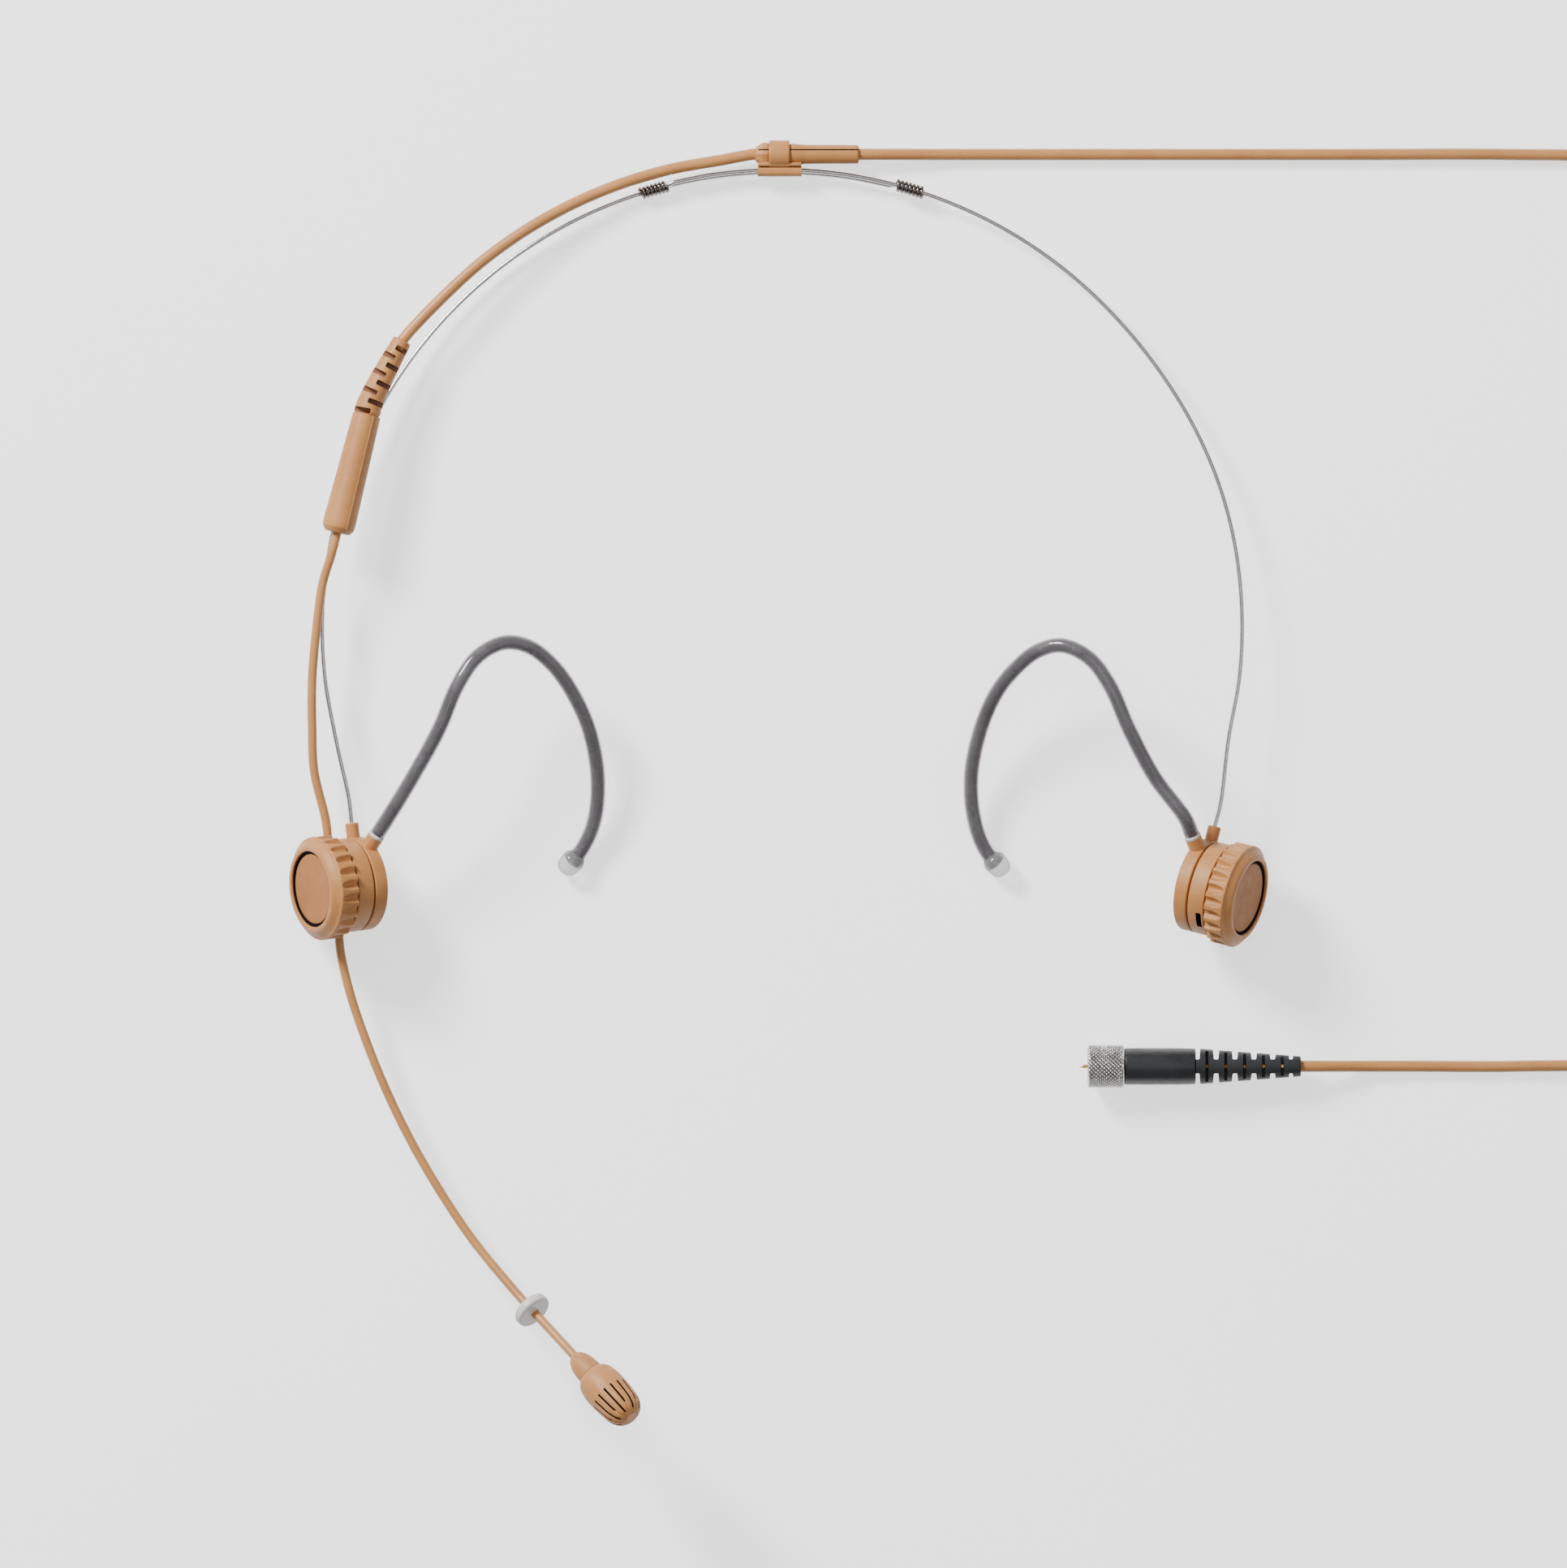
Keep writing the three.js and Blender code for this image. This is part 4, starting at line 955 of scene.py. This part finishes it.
def clip():
    """The rail that the band wires run through, the strap round the lead, and its sleeve."""
    middle_z = (RAIL_LOW + RAIL_HIGH) / 2
    rail_x = CLIP_X + 0.05
    rail_h = RAIL_HIGH + 0.25 - RAIL_LOW
    gutter = oval_tube(RAIL_L, (0.72, 1.27), (0.50, 0.95), (rail_x, RAIL_Y - 0.05, middle_z))
    plate = block((RAIL_L, 0.52, rail_h), (rail_x, RAIL_Y + 0.92, middle_z + 0.1), 0.12)
    web = block((2.7, 0.7, 2.3), (CLIP_X, RAIL_Y + 0.75, middle_z), 0.1)
    strap = along_x(revolve(rounded([
        (1.52, -1.45), (1.87, -1.45, 0.1), (1.95, -1.2, 0.1), (1.95, 1.25, 0.1), (1.87, 1.43, 0.1),
        (1.52, 1.43), (1.52, -1.45),
    ]), 72), CLIP_X, CLIP_LEAD_Y, STRAP_D / 2)
    body = finish_mesh("clip_rail", merge(gutter, plate, web, strap), "tan")
    settle(body, "clip", "clip_body")

    tube = along_x(revolve(dense(rounded([
        (0, 0), (0.95, 0, 0.08), (1.08, 0.15, 0.1), (1.62, 1.0, 0.12), (1.62, 1.72, 0.08),
        (1.43, 1.9, 0.05), (1.44, 4.9, 0.1), (1.5, 5.1, 0.15), (1.47, 5.6, 0.3), (1.33, 6.9, 0.5),
        (1.3, 14.25, 0.12), (0.9, 14.4, 0.06), (0.86, 13.6), (0, 13.6),
    ]), 0.5), 64, eight_sided), SLEEVE_FROM, CLIP_LEAD_Y, STRAP_D / 2)
    sleeve = finish_mesh("clip_tube", tube, "tan")
    seam_place = (SLEEVE_FROM + 7.4, CLIP_LEAD_Y + 0.62, STRAP_D / 2 + 1.3)
    seam = block((14.0, 0.17, 1.3), seam_place, 0)
    # The seam's cut faces take the dark gap colour, a painted shade in the slit.
    cut(sleeve, DESIGN, [seam], inside="gap")
    settle(sleeve, "clip", "clip_sleeve")


clip()

# --- inline joint and the two short cables ---
INLINE_LOW = band_point(167.9, 7.3, -0.7)
INLINE_MID = band_point(155.5, 6.7, 0.3)
INLINE_AXIS = (INLINE_MID - INLINE_LOW).normalized()
INLINE_R = 2.3
INLINE_TOP_R = 1.95
BARREL_LENGTH = 16.8
THIN_D = 1.25
PARTING_ANGLE = math.radians(122)
SLOT_PITCH = 2.75


def inline_at(distance):
    return INLINE_LOW + INLINE_AXIS * distance


def parting_line(r, z, angle):
    """A fine raised line along the barrel, where its two moulds meet."""
    if r < INLINE_TOP_R - 0.1:
        return r
    return r + 0.08 * math.exp(-((angle - PARTING_ANGLE) * r / 0.08) ** 2)


def barrel():
    profile = rounded([
        (0.68, 0), (1.72, 0, 0.1), (INLINE_R - 0.08, 0.65, 0.12), (INLINE_R, 1.3, 0.4),
        (INLINE_TOP_R, BARREL_LENGTH + 0.03), (0.68, BARREL_LENGTH + 0.03), (0.68, 0),
    ])
    shape = revolve(dense(profile, 0.7), 240, parting_line)
    matrix = frame_at(row(INLINE_LOW), INLINE_AXIS)
    obj = finish_mesh("inline_barrel", shape, "tan", matrix, sharp=math.radians(70))
    settle(obj, "left_frame", "inline_joint")


barrel()

relief_route = spline([
    inline_at(BARREL_LENGTH + 0.05), inline_at(BARREL_LENGTH + 1.4),
    band_point(149.1, 6.4, 1.55), band_point(146, 6.2, 1.85), band_point(142.7, 6.0, 2.3),
], 12)


def curved_frame(path, distance):
    """Centre, tangent, side (to the right seen from above) and up, at a distance along a path."""
    gone = 0.0
    for a, b in zip(path, path[1:]):
        step = (b - a).length
        if gone + step >= distance:
            tangent = (b - a).normalized()
            side = tangent.cross(Vector((0, 0, 1))).normalized()
            return a.lerp(b, (distance - gone) / step), tangent, side, side.cross(tangent)
        gone += step
    return None


def flex_radius(share):
    return INLINE_TOP_R - 0.06 + (LEAD_D / 2 + 0.58 - INLINE_TOP_R) * share


def flex_relief():
    """A tapered sleeve with slots from both sides, a half pitch apart."""
    total = length_of(relief_route)
    marks = [total * k / 60 * 0.9999 for k in range(61)]
    path = [curved_frame(relief_route, mark)[0] for mark in marks]
    obj = finish_mesh("inline_flex", sweep(path, flex_radius, 48, flat=True), "tan")
    slots = []
    for k in range(4):
        for sign, first in ((-1, 0.5), (1, 1.95)):
            distance = first + SLOT_PITCH * k
            centre, tangent, side, up = curved_frame(relief_route, distance)
            r = flex_radius(distance / total)
            slot = block((0.72, 2 * r, 2 * r), (0, sign * 0.78 * r, 0.98 * r), 0.16, 2)
            slot.transform(place(tangent, side, up, centre))
            slots.append(slot)
    # The slots' cut faces take the slot_shade colour, a painted shade.
    cut(obj, DESIGN, slots, inside="shade")
    settle(obj, "left_frame", "inline_relief")


flex_relief()


def blended_cable(name, route, diameter, sides, node):
    """A cable along a design route between two bodies, built in place in the row frame."""
    cable = finish_mesh(name, sweep(spline(route, 12), diameter / 2, sides), "cable")
    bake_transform(cable)
    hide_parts(node)


band_cable_route = [(SLEEVE_FROM + x, CLIP_LEAD_Y, STRAP_D / 2) for x in (0.6, -0.3)]
for step in range(7):
    angle = 97 + 6.5 * step
    band_cable_route.append(band_point(angle, 1.9 + 4.1 * smoothstep(angle, 95, 146), 2.0))
band_cable_route += [band_point(142.3, 6.0, 2.3), band_point(144.0, 6.05, 2.15)]
blended_cable(
    "band_cable_jacket", band_cable_route, LEAD_D, 24,
    "band_cable",
)

hub_cable_route = [
    inline_at(0.8), inline_at(-0.3), inline_at(-3), band_point(174.5, 7.0, 0.2),
    band_point(180.4, 6.7, 0.8), band_point(186.5, 6.3, 1.8), band_point(192.3, 6.0, 2.9),
    band_point(197.1, 5.8, 4.1),
    *[hub_point("left", -BOOM_CHORD, y, BOOM_Z) for y in (9.3, 6.2, 3.4)],
]
blended_cable(
    "hub_cable_jacket", hub_cable_route, THIN_D, 20,
    "hub_cable",
)

# --- ear hooks ---
HOOK_R = 1.1
HOOK_CORE_R = 0.66
TIP_LENGTH = 3.6
TIP_R = 1.65
HOOK_ROUTES = {
    "left": [
        (6.6, 14.6, 13.0), (10.3, 21.3, 14.6), (12.9, 27.4, 14.9), (15.7, 31.4, 14.3),
        (19.4, 33.3, 13.0), (22.8, 32.7, 11.6), (25.9, 30.3, 10.2), (28.6, 26.6, 8.6),
        (31.0, 21.3, 6.6), (32.2, 14.6, 4.4), (31.7, 8.6, 2.8), (30.0, 4.7, 1.9),
        (27.2, 1.4, TIP_R),
    ],
    "right": [
        (-5.3, 14.7, 12.4), (-8.9, 21.4, 14.0), (-11.6, 27.5, 14.4), (-14.5, 31.3, 13.8),
        (-18.2, 33.0, 12.6), (-21.6, 32.2, 11.2), (-24.6, 29.8, 9.8), (-27.2, 26.5, 8.3),
        (-29.4, 21.4, 6.4), (-30.7, 14.7, 4.2), (-30.2, 8.7, 2.7), (-28.7, 4.7, 1.9),
        (-25.8, 1.3, TIP_R),
    ],
}


def from_hub(label, point):
    """A design point from its offset to the hub's centre and its height above the surface."""
    hub = hub_point(label, 0, 0, 0)
    return Vector((hub.x + point[0], hub.y + point[1], point[2]))


def bulb(t):
    """Radius of the soft tip: a collar, a swelling and a round end."""
    swell = math.sin(math.pi * min(1.0, 0.18 + 0.8 * t))
    return TIP_R * (0.70 + 0.29 * swell)


def ear_hook(label):
    """A clear tube over a covered wire, with a collar at the hub and a soft tip."""
    start = [hub_point(label, *(HOOK_MOUTH + HOOK_LEAN * out)) for out in (-0.4, 0.3, 3)]
    route = spline(start + [from_hub(label, p) for p in HOOK_ROUTES[label]], 12)
    total = length_of(route)
    split = total - TIP_LENGTH
    tube = sweep(stretch(route, 0.35, split + 1.9), HOOK_R, 28)
    collar = sweep(stretch(route, 0.0, 0.6), HOOK_R + 0.06, 28, flat=True)
    tip = sweep(stretch(route, split, total - 0.01), bulb, 32)
    core = sweep(stretch(route, 0.6, split + 1.6), HOOK_CORE_R, 18)
    for name, shape, material, nodes in (
        ("tube", tube, "tube", ("sleeve",)), ("collar", collar, "white", ()),
        ("end", tip, "clear", ("tip",)), ("core", core, "core", ("wire",)),
    ):
        obj = finish_mesh(f"{label}_hook_{name}", shape, material)
        settle(obj, f"{label}_hook", *[f"{label}_hook_{node}" for node in nodes])


for label in HUBS:
    ear_hook(label)

# --- boom and microphone ---
MIC_TILT = math.radians(30)
MIC_HEADING = math.radians(-46.6)
MIC_AXIS = Vector((
    math.cos(MIC_TILT) * math.cos(MIC_HEADING), math.cos(MIC_TILT) * math.sin(MIC_HEADING),
    math.sin(MIC_TILT),
))
MIC_START = from_hub("left", (29.1, -65.4, 16.0))
boom_route = [
    *[hub_point("left", -BOOM_CHORD, y, BOOM_Z) for y in (2.5, -6.5, -9.5)],
    *[from_hub("left", p) for p in (
        (-2.0, -15.8, 5.1), (0.3, -22.5, 4.7), (3.1, -29.3, 4.5), (6.4, -36.0, 4.6),
        (10.3, -42.7, 5.0), (14.9, -49.5, 6.3),
    )],
    *[MIC_START + out * MIC_AXIS for out in (-13.2, -9, -4, 0.6)],
]
boom = finish_mesh("boom_tube", sweep(spline(boom_route, 12), THIN_D / 2, 24), "cable")
settle(boom, "boom", "boom_arm")

ring_place = MIC_START - 10 * MIC_AXIS
washer = revolve(rounded([
    (0.64, -0.72), (2.15, -0.75, 0.35), (2.6, -0.5, 0.4), (2.6, 0.5, 0.4), (2.15, 0.75, 0.35),
    (0.64, 0.72), (0.64, -0.72),
]), 72)
drip = finish_mesh("drip_washer", washer, "white", frame_at(row(ring_place), MIC_AXIS))
settle(drip, "drip_ring", "drip_ring")

MIC = frame_at(row(MIC_START), MIC_AXIS)
CAP_FROM = 4.2
CAP_TIP = 13.3
CAP_R_MOST = 3.0
SLIT_COUNT = 16
SLIT_START = CAP_TIP - 4.8


def cap_relief(r, z, angle):
    """The cap is a little lobed between its slits where it rounds over to the tip."""
    if r < 1.2 or z < CAP_FROM + 2.5:
        return r
    depth = 0.13 * smoothstep(z, CAP_FROM + 2.5, CAP_TIP - 2.5)
    return r - depth * max(0.0, math.cos(SLIT_COUNT * angle)) ** 2


def mic_boot():
    shape = revolve(dense(rounded([
        (0.5, 0.02), (0.72, 0.02, 0.12), (1.15, 0.42, 0.4), (1.6, 1.35, 0.6), (1.8, 2.6, 0.6),
        (1.88, 4.0, 0.2), (1.7, 4.2, 0.1), (0, 4.2),
    ], 8), 0.5), 72)
    settle(finish_mesh("boot", shape, "tan", MIC), "boom", "mic_boot")


def cap_slits():
    """Long and short slits by turns, from the same height."""
    slits = []
    for k in range(SLIT_COUNT):
        depth, length, middle_r = (1.9, 3.4, 2.9) if k % 2 else (2.2, 4.4, 2.5)
        slit = block((depth, 0.28, length), (middle_r, 0, SLIT_START + length / 2), 0.08, 2)
        slit.transform(Matrix.Rotation(math.radians(90 + 360 * k / SLIT_COUNT), 4, "Z"))
        slits.append(slit)
    return slits


def frequency_cap():
    """The slotted cap with painted shade on its slits' cut faces, and a dark sheet of painted
    shade behind its slits.
    """
    shell = revolve(dense(rounded([
        (0, CAP_TIP - 0.55), (1.6, CAP_TIP - 1.1, 0.3), (2.2, CAP_TIP - 2.6, 0.4),
        (2.35, CAP_FROM + 2.2), (1.8, CAP_FROM + 0.02), (2.15, CAP_FROM + 0.02, 0.15),
        (2.72, CAP_FROM + 0.75, 0.5), (2.97, CAP_FROM + 2.2, 0.8),
        (CAP_R_MOST, CAP_FROM + 4.2, 1.0), (2.72, CAP_TIP - 1.9, 0.9), (2.1, CAP_TIP - 0.62, 0.7),
        (1.10, CAP_TIP - 0.05, 0.25), (1.03, CAP_TIP - 0.12), (0.96, CAP_TIP - 0.02, 0.03),
        (0, CAP_TIP),
    ], 8), 0.3), SLIT_COUNT * 12, cap_relief)
    obj = finish_mesh("slotted_cap", shell, "tan", MIC, sharp=math.radians(50))
    # The slit faces take the dark gap colour, a painted shade.
    cut(obj, MIC, cap_slits(), inside="gap")
    settle(obj, "frequency_cap", "frequency_cap")
    # A dark sheet inside the cap: painted shade seen through the slits.
    shade_sheet = revolve([
        (0, CAP_TIP - 1.2), (1.45, CAP_TIP - 1.4), (2.1, CAP_TIP - 2.7), (2.24, CAP_FROM + 2.2),
        (2.14, CAP_FROM + 1.0), (2.0, CAP_FROM + 1.0), (2.0, CAP_FROM + 2.2),
        (1.9, CAP_TIP - 2.9), (1.3, CAP_TIP - 1.6), (0, CAP_TIP - 1.5),
    ], 72)
    settle(finish_mesh("cap_shade_sheet", shade_sheet, "gap", MIC), "frequency_cap")


mic_boot()
frequency_cap()

# --- connector ---
PLUG = frame_at(row((NUT_FACE_X, PLUG_Y, PLUG_Z)), (1, 0, 0))
NUT_R = 2.95
NUT_LENGTH = 5.1
BODY_R = 2.55
BODY_FROM = 5.14
BODY_TO = 15.0
RELIEF_TO = 29.6
RELIEF_PITCH = 2.62
RELIEF_BLOCK = 1.95
BLOCK_COUNT = 5
FIRST_BLOCK = BODY_TO + 0.55
NECK_R = 0.95
KNURL_COUNT = 32
KNURL_PITCH = 0.58


def knurl(r, z, angle):
    """Crossed grooves, with plain bevelled lips at both ends."""
    if r < NUT_R - 0.12:
        return r
    fade = smoothstep(z, 0.1, 0.4) * (1 - smoothstep(z, NUT_LENGTH - 0.4, NUT_LENGTH - 0.1))
    twist = math.pi * z / KNURL_PITCH
    first = abs(math.sin(KNURL_COUNT * angle / 2 + twist))
    second = abs(math.sin(KNURL_COUNT * angle / 2 - twist))
    groove = min(1.0, 1.5 * min(first, second))
    return r - 0.27 * fade * (1 - groove)


def nut():
    length = NUT_LENGTH
    profile = rounded([
        (2.45, 0.02), (2.72, 0.0, 0.1), (2.92, 0.2, 0.06), (2.92, 0.34), (NUT_R, 0.36),
        (NUT_R, length - 0.36), (2.92, length - 0.34), (2.92, length - 0.2, 0.06),
        (2.75, length - 0.02, 0.1), (2.45, length - 0.02), (2.45, 0.02),
    ])
    shape = revolve(dense(profile, 0.075), KNURL_COUNT * 12, knurl)
    obj = finish_mesh("knurled_nut", shape, "nickel", PLUG, sharp=math.radians(60))
    settle(obj, "coupling_nut", "coupling_nut")


def plug_body():
    """The barrel, and the collar that closes the gap to the nut."""
    body = revolve(dense(rounded([
        (1.6, BODY_FROM + 0.02), (BODY_R - 0.05, BODY_FROM + 0.02, 0.1),
        (BODY_R, BODY_FROM + 0.25, 0.1), (BODY_R, BODY_TO - 2.5, 1.0),
        (BODY_R - 0.07, BODY_TO - 0.1, 0.12), (BODY_R - 0.4, BODY_TO, 0.1), (0, BODY_TO),
        (0, BODY_TO - 1), (1.6, BODY_TO - 1), (1.6, BODY_FROM + 0.02),
    ]), 1.0), 96)
    settle(finish_mesh("plug_body", body, "body", PLUG), "clip", "connector_body")
    collar = revolve(rounded([
        (2.2, BODY_FROM - 0.2), (2.42, BODY_FROM - 0.2), (2.42, BODY_FROM + 0.01),
        (1.62, BODY_FROM + 0.01), (1.62, BODY_FROM - 0.2), (2.2, BODY_FROM - 0.2),
    ]), 60)
    settle(finish_mesh("plug_collar", collar, "body", PLUG), "clip")


def relief_radius(z):
    return BODY_R - 0.05 + (1.4 - BODY_R + 0.05) * (z - BODY_TO) / (RELIEF_TO - BODY_TO)


def notch(start, end, sign):
    """A cutter from one side down to the neck, wider outside and round at the bottom."""
    low = NECK_R + 0.02
    bm = bmesh.new()
    rings = []
    for reach, flare in ((low, 0.0), (low + 0.25, 0.02), (relief_radius(start) + 0.3, 0.12)):
        ring = []
        for x, outside in ((-3, 0), (3, 0), (3, 1), (-3, 1)):
            z = end + flare if outside else start - flare
            ring.append(bm.verts.new((sign * reach, x, z)))
        rings.append(ring)
    skin(bm, rings)
    bottom = [
        e for e in bm.edges
        if all(abs(abs(v.co.x) - low) < 1e-6 for v in e.verts)
        and abs(e.verts[0].co.z - e.verts[1].co.z) < 1e-6
    ]
    round_edges(bm, bottom, 0.14, 3)
    return bm


def plug_relief():
    """Tapered blocks on a flexible neck, notched from two sides, with a slot across each block."""
    blank = revolve(dense(rounded([
        (0, BODY_TO + 0.02), (relief_radius(BODY_TO), BODY_TO + 0.02, 0.1),
        (relief_radius(RELIEF_TO), RELIEF_TO, 0.15), (0, RELIEF_TO),
    ]), 0.8), 72)
    obj = finish_mesh("plug_relief", blank, "relief", PLUG)
    starts = [FIRST_BLOCK + RELIEF_PITCH * k for k in range(BLOCK_COUNT)]
    ends = [start + RELIEF_BLOCK for start in starts]
    gaps = zip([BODY_TO - 0.1, *ends], [*starts, ends[-1] + 0.5])
    cutters = [notch(low, high, sign) for low, high in gaps for sign in (1, -1)]
    dots = []
    for start in starts:
        middle = start + RELIEF_BLOCK / 2
        r = relief_radius(middle)
        for sign in (1, -1):
            slot_y = sign * (NECK_R - 0.2 + r / 2)
            cutters.append(block((2 * r - 0.5, r, 0.42), (0, slot_y, middle), 0.1, 2))
            bm = bmesh.new()
            bmesh.ops.create_icosphere(bm, subdivisions=3, radius=0.27)
            dot_y = sign * min(NECK_R + 0.35, r - 0.33)
            bm.transform(Matrix.Translation((0, dot_y, middle)))
            dots.append(bm)
    cut(obj, PLUG, cutters)
    settle(obj, "clip", "connector_relief")
    settle(finish_mesh("relief_windows", merge(*dots), "cable", PLUG), "clip")


def plug_front():
    shell = revolve(rounded([
        (1.55, 0.5), (2.1, 0.5, 0.08), (2.15, 0.6), (2.15, NUT_LENGTH), (1.55, NUT_LENGTH),
        (1.55, 0.5),
    ]), 60)
    settle(finish_mesh("plug_shell", shell, "nickel", PLUG), "clip", "connector_shell")
    insulator = revolve(rounded([
        (0.45, 1.3), (1.4, 1.3, 0.08), (1.4, NUT_LENGTH), (0.45, NUT_LENGTH), (0.45, 1.3),
    ]), 48)
    settle(finish_mesh("plug_insulator", insulator, "white", PLUG), "clip", "connector_insulator")
    pin = revolve(rounded([
        (0, -1.15), (0.1, -1.1, 0.04), (0.26, -0.55, 0.1), (0.26, NUT_LENGTH), (0, NUT_LENGTH),
    ]), 32)
    settle(finish_mesh("plug_pin", pin, "gold", PLUG), "clip", "connector_pin")


nut()
plug_body()
plug_relief()
plug_front()

# --- CAD pieces that stay as they are ---
KEPT = {
    "left_clamp_stud": "brass", "right_clamp_stud": "brass", "left_knob_insert": "brass",
    "right_knob_insert": "brass", "left_spring_washer": "wire", "right_spring_washer": "wire",
    "inline_core": "brass", "boom_shoe": "brass", "mic_element": "gap", "element_mesh": "wire",
}
for name, key in KEPT.items():
    node = frame["nodes"][name]
    node.data.materials.clear()
    node.data.materials.append(MATERIALS[key])
